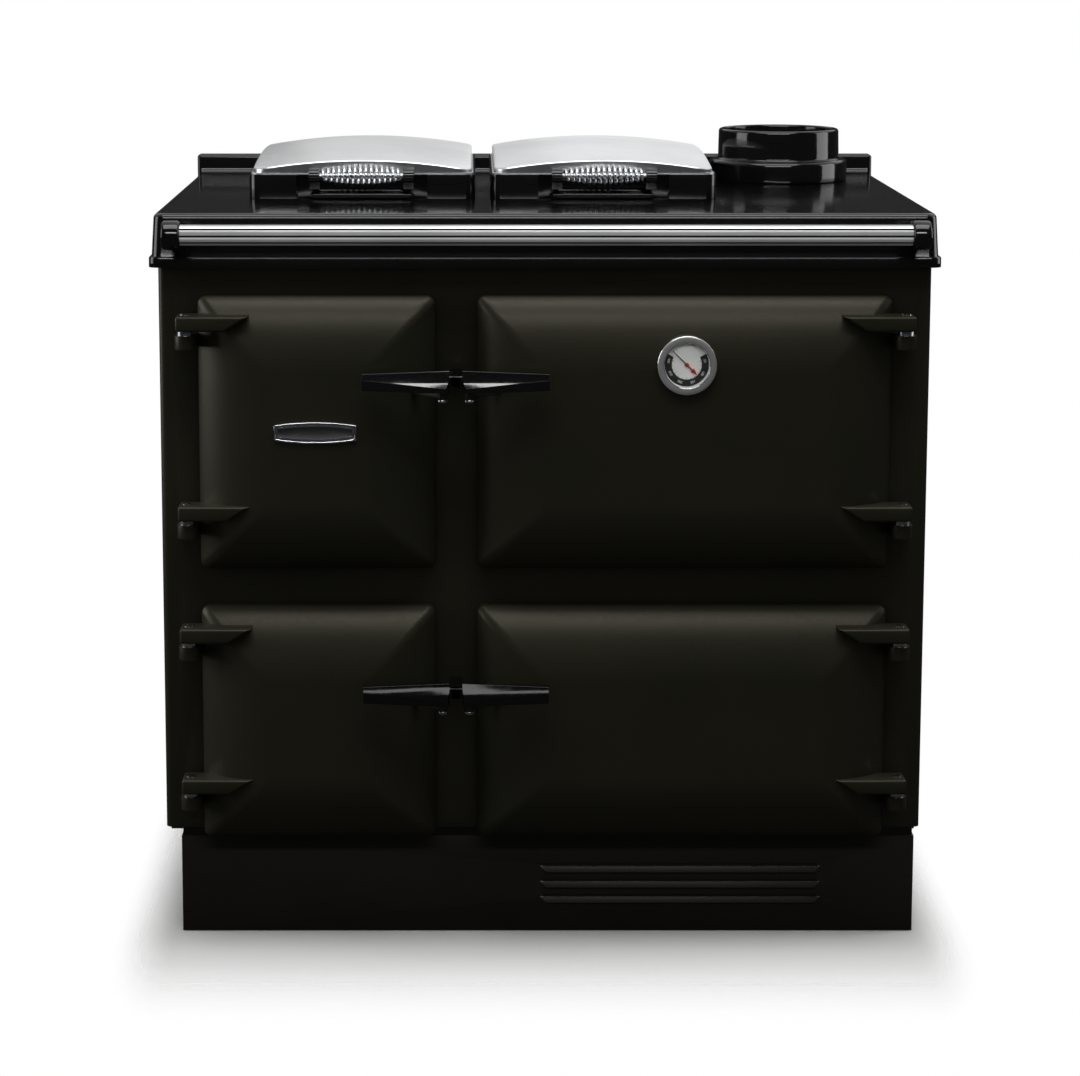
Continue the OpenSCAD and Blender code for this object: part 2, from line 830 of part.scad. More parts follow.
burner_x = chamber_x1 - chamber_w / 2;
burner_rise = 150;                // from the body's lower edge to the burner's axis
burner_z = body_z + burner_rise;
flange_t = 10;                   // of the burner's mounting flange
fan_l = 90;                      // length of the fan casing

flange_out = 20;                 // of the burner's flange round its blast tube
tube_gap = 30;                   // between the flange and the fan casing
tube_in = 60;                    // of the blast tube inside the chamber
motor_r = 32;
motor_l = 30;                    // of the motor in front of the fan casing
inlet_w = 70;                    // width of the air inlet below the fan casing
inlet_h = 25;

module burner() {
  y1 = chamber_y0;
  fan_y1 = y1 - flange_t - tube_gap;
  fan_y0 = fan_y1 - fan_l;
  color("#8c2f26") {
    rod_y(burner_x, y1 - flange_t, y1, burner_z, blast_r + flange_out);
    rod_y(burner_x, fan_y1 - eps, y1 + tube_in, burner_z, blast_r);
    rod_y(burner_x, fan_y0, fan_y1, burner_z, fan_r);
    box(burner_x - inlet_w / 2, burner_x + inlet_w / 2, fan_y0, fan_y1,
        burner_z - fan_r - inlet_h, burner_z);
    rod_y(burner_x, fan_y0 - motor_l, fan_y0 + eps, burner_z, motor_r);
  }
}

function oven_box(door, t) = [opening(door)[0] - oven_over - t, opening(door)[1] + oven_over + t,
                              opening(door)[2] - oven_over - t, opening(door)[3] + oven_over + t];
oven_back_y = front_back_y + oven_d;

module oven_solid(door, t) {
  o = oven_box(door, t);
  box(o[0], o[1], front_back_y, oven_back_y + t, o[2], o[3]);
}

module insulation() {
  color("#b9a77c")
    difference() {
      box(chamber_x1 + rest_gap, body_w / 2 - panel_t, front_back_y, body_back_y - panel_t,
          body_z, duct_z);
      oven_solid(UR, oven_t);
      oven_solid(LR, oven_t);
    }
}

// ---- Ovens and shelves ---------------------------------------------------

runner_h = 6;                    // height of a shelf runner
runner_set = 25;                 // from the front plate to the runners
runner_short = 10;               // from the runners to the oven's back
runner_y0 = front_back_y + runner_set;
runner_y1 = oven_back_y - runner_short;
shelf_short = 5;                 // of a shelf before the runners' back ends
shelf_y1 = runner_y1 - shelf_short;

module oven(door, shelf_z) {
  o = oven_box(door, 0);
  difference() {
    oven_solid(door, oven_t);
    box(o[0], o[1], front_back_y - eps, oven_back_y, o[2], o[3]);
  }
  for (x = [o[0], o[1] - runner_w])
    box(x, x + runner_w, runner_y0, runner_y1, o[2] + shelf_z - runner_h, o[2] + shelf_z);
}

module main_oven() {
  color(iron) oven(UR, main_shelf_z);
}

module lower_oven() {
  color(iron) oven(LR, lower_shelf_z);
}

module shelf(door, shelf_z) {
  o = oven_box(door, 0);
  rim = 2 * shelf_bar_r + 1;
  side = 2;                      // clearance beside a shelf
  x0 = o[0] + side;
  x1 = o[1] - side;
  z0 = o[2] + shelf_z;
  pitch = (x1 - x0 - 2 * rim) / (shelf_n + 1);
  difference() {
    box(x0, x1, runner_y0, shelf_y1, z0, z0 + rim);
    box(x0 + rim, x1 - rim, runner_y0 + rim, shelf_y1 - rim, z0 - eps, z0 + rim + eps);
  }
  for (i = [1 : shelf_n])
    rod_y(x0 + rim + i * pitch, runner_y0 + rim / 2, shelf_y1 - rim / 2, z0 + rim / 2, shelf_bar_r);
}

module main_oven_shelf() {
  color(steel) shelf(UR, main_shelf_z);
}

module lower_oven_shelf() {
  color(steel) shelf(LR, lower_shelf_z);
}

// ---- Controls behind the upper left door ---------------------------------

tray_end = 14;                   // from the upper left door's ends to the tray
tray_z0 = upper_door_z + tray_end;
tray_z1 = door_top(UL) - tray_end;
tray_t = 2;                      // sheet of the tray
knob_up = 20;                    // from the tray's middle up to the knobs
knob_z = (tray_z0 + tray_z1) / 2 + knob_up;
knob_mid_x = (tray_x0 + tray_x1) / 2;
knob_shaft_r = 4;

module control_fascia() {
  color("#b8babb")
    difference() {
      box(tray_x0, tray_x1, front_back_y, front_back_y + tray_d, tray_z0, tray_z1);
      box(tray_x0 + tray_t, tray_x1 - tray_t, front_back_y - eps, fascia_y,
          tray_z0 + tray_t, tray_z1 - tray_t);
      box(tray_x0 + tray_t, tray_x1 - tray_t, fascia_y + tray_t, front_back_y + tray_d + eps,
          tray_z0 + tray_t, tray_z1 - tray_t);
      for (x = [-1, 1])
        rod_y(knob_mid_x + x * knob_gap / 2, fascia_y - eps, fascia_y + tray_t + eps, knob_z,
              knob_shaft_r + fit);
    }
}

shaft_past = 12;                 // of a knob's shaft behind the fascia
pointer_w = 4;                   // of the raised pointer on a knob
pointer_h = 2;
pointer_in = 3;                  // from the pointer's end to the knob's rim

module knob(x) {
  y1 = fascia_y - rest_gap;
  y0 = y1 - knob_l;
  rod_y(x, y0, y1, knob_z, knob_r);
  rod_y(x, y1 - eps, fascia_y + tray_t + shaft_past, knob_z, knob_shaft_r);
  box(x - pointer_w / 2, x + pointer_w / 2, y0 - pointer_h, y0 + eps,
      knob_z, knob_z + knob_r - pointer_in);
}

module oven_knob() {
  color(gloss) knob(knob_mid_x + knob_gap / 2);
}

module boiler_knob() {
  color(gloss) knob(knob_mid_x - knob_gap / 2);
}

// ---- Hand rail -----------------------------------------------------------

rail_seat = 15;                  // depth of the rail's seat in a bracket
flute_out = 0.45;                // of a flute's middle beyond the rail's surface, as a share of its radius
web_h = 26;                      // of a bracket's arm back to the top plate

module hand_rail() {
  x1 = bracket_x - bracket_l + rail_seat;
  color(bright)
    translate([-x1, rail_y, rail_z])
      rotate([0, 90, 0])
        difference() {
          cylinder(h = 2 * x1, r = rail_r);
          for (i = [0 : flute_n - 1])
            rotate((i + 0.5) * 360 / flute_n)
              translate([rail_r + flute_r * flute_out, 0, rail_seat])
                cylinder(h = 2 * (x1 - rail_seat), r = flute_r, $fn = 24);
        }
}

module rail_bracket() {
  y1 = lip_y + bead_out;
  color(gloss)
    difference() {
      union() {
        rod_x(bracket_x - bracket_l, bracket_x, rail_y, rail_z, bracket_r);
        box(bracket_x - bracket_l, bracket_x, rail_y, y1, rail_z - web_h / 2, rail_z + web_h / 2);
      }
      rod_x(bracket_x - bracket_l - eps, bracket_x - bracket_l + rail_seat, rail_y, rail_z, rail_r + fit);
    }
}

module rail_brackets() {
  rail_bracket();
  mirrored() rail_bracket();
}

// ---- Doors ---------------------------------------------------------------

past = 1;                        // how far a door's sections run past the outline that cuts them

// Section through a door: flat back, thin edges and a domed front
module door_section(len) {
  t = door_edge_t + dome_rise;
  intersection() {
    translate([-past, 0]) square([len + 2 * past, t]);
    union() {
      translate([dome_run, t - dome_r]) circle(dome_r);
      translate([len - dome_run, t - dome_r]) circle(dome_r);
      translate([dome_run, 0]) square([len - 2 * dome_run, t]);
    }
  }
}

module door_dome(door) {
  w = door_w(door);
  h = door_h(door);
  translate([free_x(door), door_back_y, door_z(door)])
    intersection() {
      translate([0, 0, -past]) linear_extrude(h + 2 * past) mirror([0, 1]) door_section(w);
      translate([-past, 0, 0])
        rotate([90, 0, 90])
          linear_extrude(w + 2 * past)
            mirror([1, 0]) rotate(90) mirror([0, 1]) door_section(h);
      translate([0, eps, 0])
        rotate([90, 0, 0])
          linear_extrude(2 * dome_run)
            rounded(w, h, door_corner_r);
    }
}

arm_r = 5;                       // rounding of an arm's ends

// Cast hinge arm with its knuckle
module hinge_arm(z) {
  y0 = door_edge_y - arm_out;
  block_up(hinge_x - arm_tip, hinge_x + arm_end, y0, y0 + arm_d,
           z - arm_h / 2, z + arm_h / 2, arm_r);
}

module arm_bore(z) {
  rod_z(hinge_x, hinge_y, z - arm_h / 2 - eps, z + arm_h / 2 + eps, hinge_pin_r + fit);
}

seal_more_r = 6;                 // of the ring's outer corners over its inner ones

// Ring in the door's back for the rope seal
module seal_ring(door, y0, y1) {
  x0 = free_x(door) + seal_set;
  x1 = door_edge_x - seal_set;
  z0 = door_z(door) + seal_set;
  z1 = door_top(door) - seal_set;
  difference() {
    block_front(x0, x1, y0, y1, z0, z1, door_corner_r + seal_more_r);
    block_front(x0 + seal_w, x1 - seal_w, y0 - eps, y1 + eps,
                z0 + seal_w, z1 - seal_w, door_corner_r);
  }
}

eye_r = 6.6;                     // outside of the eye that carries a handle's pin
eye_arm_w = 11;                  // width of the arm that carries the eye
eye_arm_in = 30;                 // from the door's free edge to the arm's inner end
eye_arm_back = 14;               // from the arm's inner end out to the door's edge plane

function eye_top(door) = handle_z(door) - barrel_h / 2 - rest_gap;

module handle_eye(door) {
  x = pivot_x(door);
  z1 = eye_top(door);
  reach_x = pivot_set + eye_arm_in;
  reach_y = pivot_out - eye_arm_back;
  rod_z(x, pivot_y, z1 - eye_h, z1, eye_r);
  translate([x, pivot_y, z1 - eye_h])
    rotate(atan2(reach_y, reach_x))
      translate([0, -eye_arm_w / 2, 0])
        cube([norm([reach_x, reach_y]), eye_arm_w, eye_h]);
}

module door_casting(door) {
  difference() {
    union() {
      door_dome(door);
      for (z = arm_zs(door))
        hinge_arm(z);
      handle_eye(door);
    }
    for (z = arm_zs(door))
      arm_bore(z);
    rod_z(pivot_x(door), pivot_y, eye_top(door) - eye_h - eps, eye_top(door) + eps, handle_pin_r + fit);
    block_front(free_x(door) + pocket_set, door_edge_x - pocket_set,
                door_back_y - pocket_d, door_back_y + eps,
                door_z(door) + pocket_set, door_top(door) - pocket_set, door_corner_r);
    seal_ring(door, door_back_y - groove_d, door_back_y + eps);
  }
}

module door_liner(door) {
  o = opening(door);
  x0 = o[0] + liner_gap;
  x1 = o[1] - liner_gap;
  z0 = o[2] + liner_gap;
  z1 = o[3] - liner_gap;
  difference() {
    block_front(x0, x1, door_back_y, door_back_y + liner_d, z0, z1, opening_r);
    block_front(x0 + liner_t, x1 - liner_t, door_back_y - eps, door_back_y + liner_d - liner_t,
                z0 + liner_t, z1 - liner_t, opening_r - liner_t);
  }
}

module door_seal(door) {
  seal_ring(door, door_back_y - groove_d, front_y - rest_gap);
}

tail_t = 9;                      // of a handle's tail, from side to side
tail_h = 14;
tail_gap = 2;                    // between a tail and the plane of the door's edge
pin_past = 1.5;                  // of a handle's pin below its eye

// Lever handle with its pin, and the tail whose nose bears on the keeper
module handle(door) {
  x = pivot_x(door);
  zc = handle_z(door);
  z0 = zc - barrel_h / 2;
  nose_x = keeper_mid(door) + keeper_half + nose_gap;
  tail_y = door_edge_y - tail_gap;
  rod_z(x, pivot_y, z0, z0 + barrel_h, barrel_r);
  blade(door);
  box(nose_x, nose_x + tail_t, pivot_y, tail_y, zc - tail_h / 2, zc + tail_h / 2);
  rod_z(x, pivot_y, z0 - rest_gap - eye_h - pin_past, z0 + eps, handle_pin_r);
}

blade_r = 5;                     // rounding of a blade's ends
facet = 6;                       // scale of the blocks that cut a blade's facets
facet_tilt = 38;                 // degrees from the blade's front face

// Blade of a handle: tapered in height, rounded back, with a sloping facet along its lower front
module blade(door) {
  x = pivot_x(door);
  zc = handle_z(door);
  z0 = zc - barrel_h / 2;
  y_front = pivot_y - barrel_r - blade_t / 2;
  difference() {
    intersection() {
      translate([x, pivot_y - barrel_r + blade_t / 2, z0])
        rotate([90, 0, 0])
          linear_extrude(blade_t)
            polygon([[-barrel_r, 0], [handle_l, 0], [handle_l, tip_h], [-barrel_r, barrel_h]]);
      block_up(x - barrel_r, x + handle_l, y_front, y_front + blade_t,
               z0 - eps, z0 + barrel_h + eps, blade_r);
    }
    translate([x, y_front, z0])
      rotate([0, -asin(tip_h / handle_l), 0])
        rotate([-facet_tilt, 0, 0])
          translate([-handle_l, -3 * facet, -3 * barrel_h])
            cube([3 * handle_l, 3 * facet, 3 * barrel_h]);
    translate([x, y_front, z0 + barrel_h])
      rotate([0, atan2(barrel_h - tip_h, handle_l), 0])
        rotate([facet_tilt, 0, 0])
          translate([-handle_l, -3 * facet, -facet])
            cube([3 * handle_l, 3 * facet, 3 * facet]);
  }
}

module upper_right_door() {
  color(enamel)
    difference() {
      door_casting(UR);
      rod_y(gauge_x, door_front_y - eps, seat_y, gauge_z, bezel_r + fit);
      rod_y(gauge_x, seat_y - eps, door_back_y, gauge_z, stem_r + fit);
    }
}

module lower_right_door() {
  color(enamel) door_casting(LR);
}

module upper_left_door() {
  color(enamel) mirrored() door_casting(UL);
}

module lower_left_door() {
  color(enamel) mirrored() door_casting(LL);
}

module upper_right_liner() {
  color(steel) door_liner(UR);
}

module lower_right_liner() {
  color(steel) door_liner(LR);
}

module upper_left_liner() {
  color(steel) mirrored() door_liner(UL);
}

module lower_left_liner() {
  color(steel) mirrored() door_liner(LL);
}

module upper_right_seal() {
  color("#77736b") door_seal(UR);
}

module lower_right_seal() {
  color("#77736b") door_seal(LR);
}

module upper_left_seal() {
  color("#77736b") mirrored() door_seal(UL);
}

module lower_left_seal() {
  color("#77736b") mirrored() door_seal(LL);
}

module upper_right_handle() {
  color(gloss) handle(UR);
}

module lower_right_handle() {
  color(gloss) handle(LR);
}

module upper_left_handle() {
  color(gloss) mirrored() handle(UL);
}

module lower_left_handle() {
  color(gloss) mirrored() handle(LL);
}

pin_collar_less = 3;             // of a pin's collar under the radius of its lug

// Pin with a collar that an arm rests on, its upper end above the arm
module hinge_pin(z) {
  z0 = z - lug_top;
  translate([hinge_x, hinge_y, z0])
    rotate_extrude()
      union() {
        translate([0, -lug_h]) square([hinge_pin_r, lug_h + lug_top + arm_h / 2 + pin_proud]);
        square([lug_w / 2 - pin_collar_less, collar_h]);
      }
}

module door_hinge_pins() {
  color(steel) {
    for (door = [UR, LR], z = arm_zs(door))
      hinge_pin(z);
    mirrored()
      for (door = [UL, LL], z = arm_zs(door))
        hinge_pin(z);
  }
}

keeper_r = 4;                    // rounding of a keeper's corners

module latch_keepers() {
  color(steel)
    for (door = [UR, LR]) {
      z = handle_z(door);
      block_up(keeper_x - keeper_half, keeper_x + keeper_half, front_y - keeper_out, front_y - rest_gap,
               z - keeper_h / 2, z + keeper_h / 2, keeper_r);
    }
}

// ---- Name plate and thermometer ------------------------------------------

// Outline with slightly bowed long sides, its middle at the origin
module bowed(w, h, end_h) {
  sag = (h - end_h) / 2;
  r = (w * w / 4 + sag * sag) / (2 * sag);
  intersection() {
    translate([0, h / 2 - r]) circle(r, $fn = 360);
    translate([0, r - h / 2]) circle(r, $fn = 360);
    square([w, h], center = true);
  }
}

module name_plate() {
  rim_w = 2.2;                   // of the raised rim round the plate's field
  field_d = 1;                   // of the field below the rim
  color(bright)
    translate([plate_x, door_front_y, plate_z])
      rotate([90, 0, 0])
        difference() {
          linear_extrude(plate_t) bowed(plate_w, plate_h, plate_end_h);
          translate([0, 0, plate_t - field_d])
            linear_extrude(2 * field_d)
              bowed(plate_w - 2 * rim_w, plate_h - 2 * rim_w, plate_end_h - 2 * rim_w);
        }
}

stem_r = 5;                      // of the thermometer's stem
spindle_r = 1.2;                 // of the needle's spindle
dial_t = 7;                      // thickness of the thermometer's dial
glass_set = 3;                   // from the bezel's front to the glass
dial_y = seat_y - dial_t;
glass_y = bezel_y + glass_set;
glass_t = 1.5;                   // thickness of the thermometer's glass
glass_lap = 2.3;                 // of the glass in the bezel's groove
bezel_chamfer = 3;               // on the bezel's outer front edge, from front to back
bezel_slant = 2.5;               // the same, from side to side
rim_chamfer = 1.5;               // on the bezel's inner front edge
stem_past = 20;                  // of the stem's end from the bottom of the door's pocket

module gauge_bezel() {
  bezel_h = seat_y - bezel_y;
  color(bright)
    translate([gauge_x, seat_y, gauge_z])
      rotate([90, 0, 0])
        rotate_extrude($fn = 96)
          difference() {
            polygon([[window_r, 0], [bezel_r, 0], [bezel_r, bezel_h - bezel_chamfer],
                     [bezel_r - bezel_slant, bezel_h], [window_r + rim_chamfer, bezel_h],
                     [window_r, bezel_h - rim_chamfer]]);
            translate([window_r - 1, seat_y - glass_y - glass_t])
              square([glass_lap + fit + 1, glass_t + play]);
          }
}

spindle_bore = 6;                // depth of the spindle's bore in the dial

module gauge_dial() {
  color("white")
    difference() {
      union() {
        rod_y(gauge_x, dial_y, seat_y, gauge_z, window_r - fit);
        rod_y(gauge_x, seat_y - eps, door_back_y - pocket_d + stem_past, gauge_z, stem_r);
      }
      rod_y(gauge_x, dial_y - eps, dial_y + spindle_bore, gauge_z, spindle_r + fit);
    }
}

module gauge_glass() {
  color([0.8, 0.9, 0.9, 0.3])
    rod_y(gauge_x, glass_y, glass_y + glass_t, gauge_z, window_r + glass_lap);
}

needle_t = 1;                    // sheet of the needle, and its gap from the dial
needle_rest = 45;                // degrees from the top, to the left, at rest
point_w = 0.6;                   // of the needle at its point
shank_w = 1.2;                   // of the needle at its hub
tail_w = 2.4;                    // of the arrow's shaft
head_w = 6;                      // of the arrow's head
tail_l = needle_l * 0.4;         // from the hub to the arrow's head
arrow_l = needle_l * 0.72;       // from the hub to the arrow's tip
hub_r = 2.4;
hub_h = 1.8;
spindle_l = 6;

// Thin pointer to the upper left and broad arrow to the lower right, on one spindle
module gauge_needle() {
  color("#b3261e")
    translate([gauge_x, dial_y - needle_t, gauge_z])
      rotate([90, 0, 0]) {
        rotate(needle_rest)
          linear_extrude(needle_t) {
            polygon([[-shank_w / 2, 0], [shank_w / 2, 0],
                     [point_w / 2, needle_l], [-point_w / 2, needle_l]]);
            polygon([[-tail_w / 2, 0], [tail_w / 2, 0], [tail_w / 2, -tail_l], [head_w / 2, -tail_l],
                     [0, -arrow_l], [-head_w / 2, -tail_l], [-tail_w / 2, -tail_l]]);
          }
        cylinder(h = hub_h, r = hub_r);
        translate([0, 0, needle_t - spindle_l]) cylinder(h = spindle_l, r = spindle_r);
      }
}

// ---- Lids ----------------------------------------------------------------

module lid_outline(inset) {
  translate([-lid_w / 2 + inset, lid_y + inset])
    rounded(lid_w - 2 * inset, lid_d - 2 * inset, lid_corner_r - inset / 2);
}

inside_r = 6;                    // rounding of the opening's corners

// Opening inside a lid's frame: the recess for the handle takes a bite out of its front
module lid_inside(gap) {
  wall = lid_wall + gap;
  difference() {
    translate([-lid_w / 2 + wall, lid_y + wall])
      rounded(lid_w - 2 * wall, lid_d - 2 * wall, inside_r);
    translate([-recess_w / 2 - wall, lid_y])
      square([recess_w + 2 * wall, recess_d + wall]);
  }
}

module lid_crown(r) {
  translate([0, lid_y + lid_d / 2, hob_h + lid_crest - crown_r])
    sphere(r, $fn = 240);
}

module lid_dome() {
  z0 = lid_z + lid_frame_h;
  difference() {
    intersection() {
      translate([0, 0, z0]) linear_extrude(lid_crest) lid_outline(0);
      lid_crown(crown_r);
    }
    intersection() {
      translate([0, 0, z0 - eps]) linear_extrude(lid_crest) lid_outline(dome_t);
      lid_crown(crown_r - dome_t);
    }
  }
}

ear_x = coil_l / 2;
ear_end_t = 2;                   // metal of an ear beyond the rod's bore
rod_short = 3;                   // from the rod's end to the ear's outer face

module lid_frame() {
  difference() {
    union() {
      difference() {
        translate([0, 0, lid_z]) linear_extrude(lid_frame_h) lid_outline(0);
        translate([0, 0, lid_z - eps]) linear_extrude(lid_frame_h + 2 * eps) lid_inside(0);
        box(-recess_w / 2, recess_w / 2, lid_y - eps, lid_y + recess_d,
            lid_z - eps, lid_z + lid_frame_h + eps);
      }
      for (s = [0, 1])
        mirror([s, 0, 0]) {
          rod_x(ear_x, ear_x + ear_w, rod_y, rod_z, ear_r);
          box(ear_x, ear_x + ear_w, rod_y, lid_y + recess_d + eps, rod_z - 2 * ear_r, rod_z);
          translate([lid_hinge_x - knuckle_w / 2, lid_axis_y, lid_axis_z])
            rotate([0, 90, 0])
              cylinder(h = knuckle_w, r = knuckle_r);
          box(lid_hinge_x - knuckle_w / 2, lid_hinge_x + knuckle_w / 2,
              lid_back_y - lid_wall / 2, lid_axis_y, lid_axis_z - knuckle_r, lid_axis_z + knuckle_r);
        }
    }
    for (s = [0, 1])
      mirror([s, 0, 0]) {
        rod_x(lid_hinge_x - knuckle_w, lid_hinge_x + knuckle_w, lid_axis_y, lid_axis_z,
              lid_pin_r + fit);
        rod_x(ear_x - eps, ear_x + ear_w - ear_end_t, rod_y, rod_z, rod_r + fit);
      }
  }
}

liner_sheet = 1.5;               // sheet of a lid's liner
liner_up = 4;                    // of a liner above the hotplate's land

module lid_liner() {
  z0 = hob_h + land_h + liner_up;
  z1 = lid_z + lid_frame_h;
  difference() {
    union() {
      translate([0, 0, z0]) linear_extrude(z1 - z0 + liner_sheet) lid_inside(play);
      translate([0, 0, z1]) linear_extrude(liner_sheet) lid_outline(dome_t + play);
    }
    translate([0, 0, z0 + liner_sheet]) linear_extrude(z1 - z0) lid_inside(play + liner_sheet);
  }
}

module handle_rod() {
  x1 = ear_x + ear_w - rod_short;
  rod_x(-x1, x1, rod_y, rod_z, rod_r);
}

// ---- Wire coil of a lid handle -------------------------------------------

rings_per_curl = 8;
wire_sides = 6;
coil_straight = wire_d;                        // straight wire at each end
coil_run = coil_l - 2 * rest_gap - 2 * coil_straight;
function coil_ring_r(t) = (coil_end_d - wire_d) / 2 + (coil_mid_d - coil_end_d) / 2 * sin(180 * t);
// Point on the wire's centre line, t from 0 to 1 along the curls
function coil_point(t) = [-coil_run / 2 + t * coil_run,
                          coil_ring_r(t) * sin(360 * coil_n * t),
                          coil_ring_r(t) * cos(360 * coil_n * t)];
coil_steps = coil_n * rings_per_curl;
coil_path = concat([coil_point(0) - [coil_straight, 0, 0], coil_point(0) - [coil_straight / 3, 0, 0]],
                   [for (i = [0 : coil_steps]) coil_point(i / coil_steps)],
                   [coil_point(1) + [coil_straight / 3, 0, 0], coil_point(1) + [coil_straight, 0, 0]]);
coil_last = len(coil_path) - 1;
function unit(v) = v / norm(v);
function along(i) = i < 2 || i > coil_last - 2 ? [1, 0, 0] : unit(coil_path[i + 1] - coil_path[i - 1]);
// Outward direction at a ring, square to the wire
function outward(i) = let (p = coil_path[i], o = unit([0, p[1], p[2]]))
  unit(o - (o * along(i)) * along(i));
// Ring of points round the wire at one point of its path
function wire_ring(i) = let (o = outward(i), s = cross(along(i), o))
  [for (k = [0 : wire_sides - 1]) let (a = 360 * k / wire_sides)
    coil_path[i] + wire_d / 2 * (cos(a) * o + sin(a) * s)];
coil_points = [for (i = [0 : coil_last]) each wire_ring(i)];
coil_faces = concat(
  [for (k = [1 : wire_sides - 2]) [0, k, k + 1]],
  [for (i = [0 : coil_last - 1], k = [0 : wire_sides - 1])
    let (a = i * wire_sides + k, b = i * wire_sides + (k + 1) % wire_sides)
      each [[a, a + wire_sides, b + wire_sides], [a, b + wire_sides, b]]],
  [for (k = [1 : wire_sides - 2]) let (e = coil_last * wire_sides) [e, e + k + 1, e + k]]);

// Least gap between one curl and the next, measured on the centre line's points
coil_gap = min([for (i = [2 : coil_last - 2 - rings_per_curl])
  for (j = [i + rings_per_curl - 2 : min(coil_last - 2, i + rings_per_curl + 2)])
    norm(coil_path[j] - coil_path[i])]) - wire_d;
echo(coil_gap = coil_gap);

module handle_coil() {
  translate([0, rod_y, rod_z]) polyhedron(coil_points, coil_faces, convexity = 4);
}

module on_left_lid() {
  translate([lid_xs[0], 0, 0]) children();
}

module on_right_lid() {
  translate([lid_xs[1], 0, 0]) children();
}

module left_lid_dome() {
  color(bright) on_left_lid() lid_dome();
}

module left_lid_frame() {
  color(gloss) on_left_lid() lid_frame();
}

module left_lid_liner() {
  color(steel) on_left_lid() lid_liner();
}

module left_handle_rod() {
  color(steel) on_left_lid() handle_rod();
}

module left_handle_coil() {
  color(bright) on_left_lid() handle_coil();
}

module right_lid_dome() {
  color(bright) on_right_lid() lid_dome();
}

module right_lid_frame() {
  color(gloss) on_right_lid() lid_frame();
}

module right_lid_liner() {
  color(steel) on_right_lid() lid_liner();
}

module right_handle_rod() {
  color(steel) on_right_lid() handle_rod();
}

module right_handle_coil() {
  color(bright) on_right_lid() handle_coil();
}

// Brackets on the top plate that carry the lids' hinge pins
cheek_gap = rest_gap;            // beside a knuckle
bracket_base_t = 4;              // foot of a bracket

module lid_hinge_bracket(x) {
  x_in = knuckle_w / 2 + cheek_gap;
  x_out = x_in + cheek_w;
  difference() {
    union() {
      box(x - x_out, x + x_out, lid_axis_y - knuckle_r, lid_axis_y + knuckle_r,
          hob_h, hob_h + bracket_base_t);
      for (s = [-1, 1]) {
        xa = x + (s > 0 ? x_in : -x_out);
        rod_x(xa, xa + cheek_w, lid_axis_y, lid_axis_z, knuckle_r);
        box(xa, xa + cheek_w, lid_axis_y - knuckle_r, lid_axis_y + knuckle_r, hob_h, lid_axis_z);
      }
    }
    rod_x(x - x_out - eps, x + x_out + eps, lid_axis_y, lid_axis_z, lid_pin_r + fit);
  }
}

module lid_hinge_brackets() {
  color(gloss)
    for (lid = lid_xs, s = [-1, 1])
      lid_hinge_bracket(lid + s * lid_hinge_x);
}

module lid_hinge_pins() {
  x_out = knuckle_w / 2 + cheek_gap + cheek_w;
  color(steel)
    for (lid = lid_xs, s = [-1, 1])
      rod_x(lid + s * lid_hinge_x - x_out, lid + s * lid_hinge_x + x_out, lid_axis_y, lid_axis_z,
            lid_pin_r);
}

base_frame();
base_plate();
levelling_feet();
plinth_panel();
front_plate();
left_side_panel();
right_side_panel();
back_panel();
cover_screws();
top_plate();
hotplate();
flue_collar();
flue_duct();
combustion_chamber();
burner();
insulation();
control_fascia();
oven_knob();
boiler_knob();
main_oven();
lower_oven();
main_oven_shelf();
lower_oven_shelf();
hand_rail();
rail_brackets();
door_hinge_pins();
latch_keepers();
lid_hinge_brackets();
lid_hinge_pins();
upper_left_door();
upper_left_liner();
upper_left_seal();
upper_left_handle();
lower_left_door();
lower_left_liner();
lower_left_seal();
lower_left_handle();
upper_right_door();
upper_right_liner();
upper_right_seal();
upper_right_handle();
lower_right_door();
lower_right_liner();
lower_right_seal();
lower_right_handle();
name_plate();
gauge_bezel();
gauge_dial();
gauge_glass();
gauge_needle();
left_lid_dome();
left_lid_frame();
left_lid_liner();
left_handle_rod();
left_handle_coil();
right_lid_dome();
right_lid_frame();
right_lid_liner();
right_handle_rod();
right_handle_coil();
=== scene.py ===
import json
import math
import bmesh
import bpy
from mathutils import Matrix, Vector

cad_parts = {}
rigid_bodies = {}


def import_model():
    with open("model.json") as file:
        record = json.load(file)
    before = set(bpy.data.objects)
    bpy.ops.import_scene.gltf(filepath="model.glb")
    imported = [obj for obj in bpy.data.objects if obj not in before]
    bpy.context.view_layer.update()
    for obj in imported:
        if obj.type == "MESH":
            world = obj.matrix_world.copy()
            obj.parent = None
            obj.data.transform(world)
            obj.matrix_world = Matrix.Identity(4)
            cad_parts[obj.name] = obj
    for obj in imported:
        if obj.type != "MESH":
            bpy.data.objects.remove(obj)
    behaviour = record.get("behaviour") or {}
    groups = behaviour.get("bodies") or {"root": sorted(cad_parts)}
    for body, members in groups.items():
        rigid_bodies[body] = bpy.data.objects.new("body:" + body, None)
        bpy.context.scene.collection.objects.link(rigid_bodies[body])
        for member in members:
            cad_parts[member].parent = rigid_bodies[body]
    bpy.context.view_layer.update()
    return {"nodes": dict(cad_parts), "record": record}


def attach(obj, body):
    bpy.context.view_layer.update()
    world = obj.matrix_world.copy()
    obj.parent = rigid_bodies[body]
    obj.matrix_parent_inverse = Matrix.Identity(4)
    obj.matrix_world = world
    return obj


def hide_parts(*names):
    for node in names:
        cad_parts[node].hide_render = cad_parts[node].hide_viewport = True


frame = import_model()
nodes = frame["nodes"]
print("frame loaded:", len(nodes), "nodes")

mm = 0.001
wave = 1 / 6.28  # scale that makes one wave as long as asked


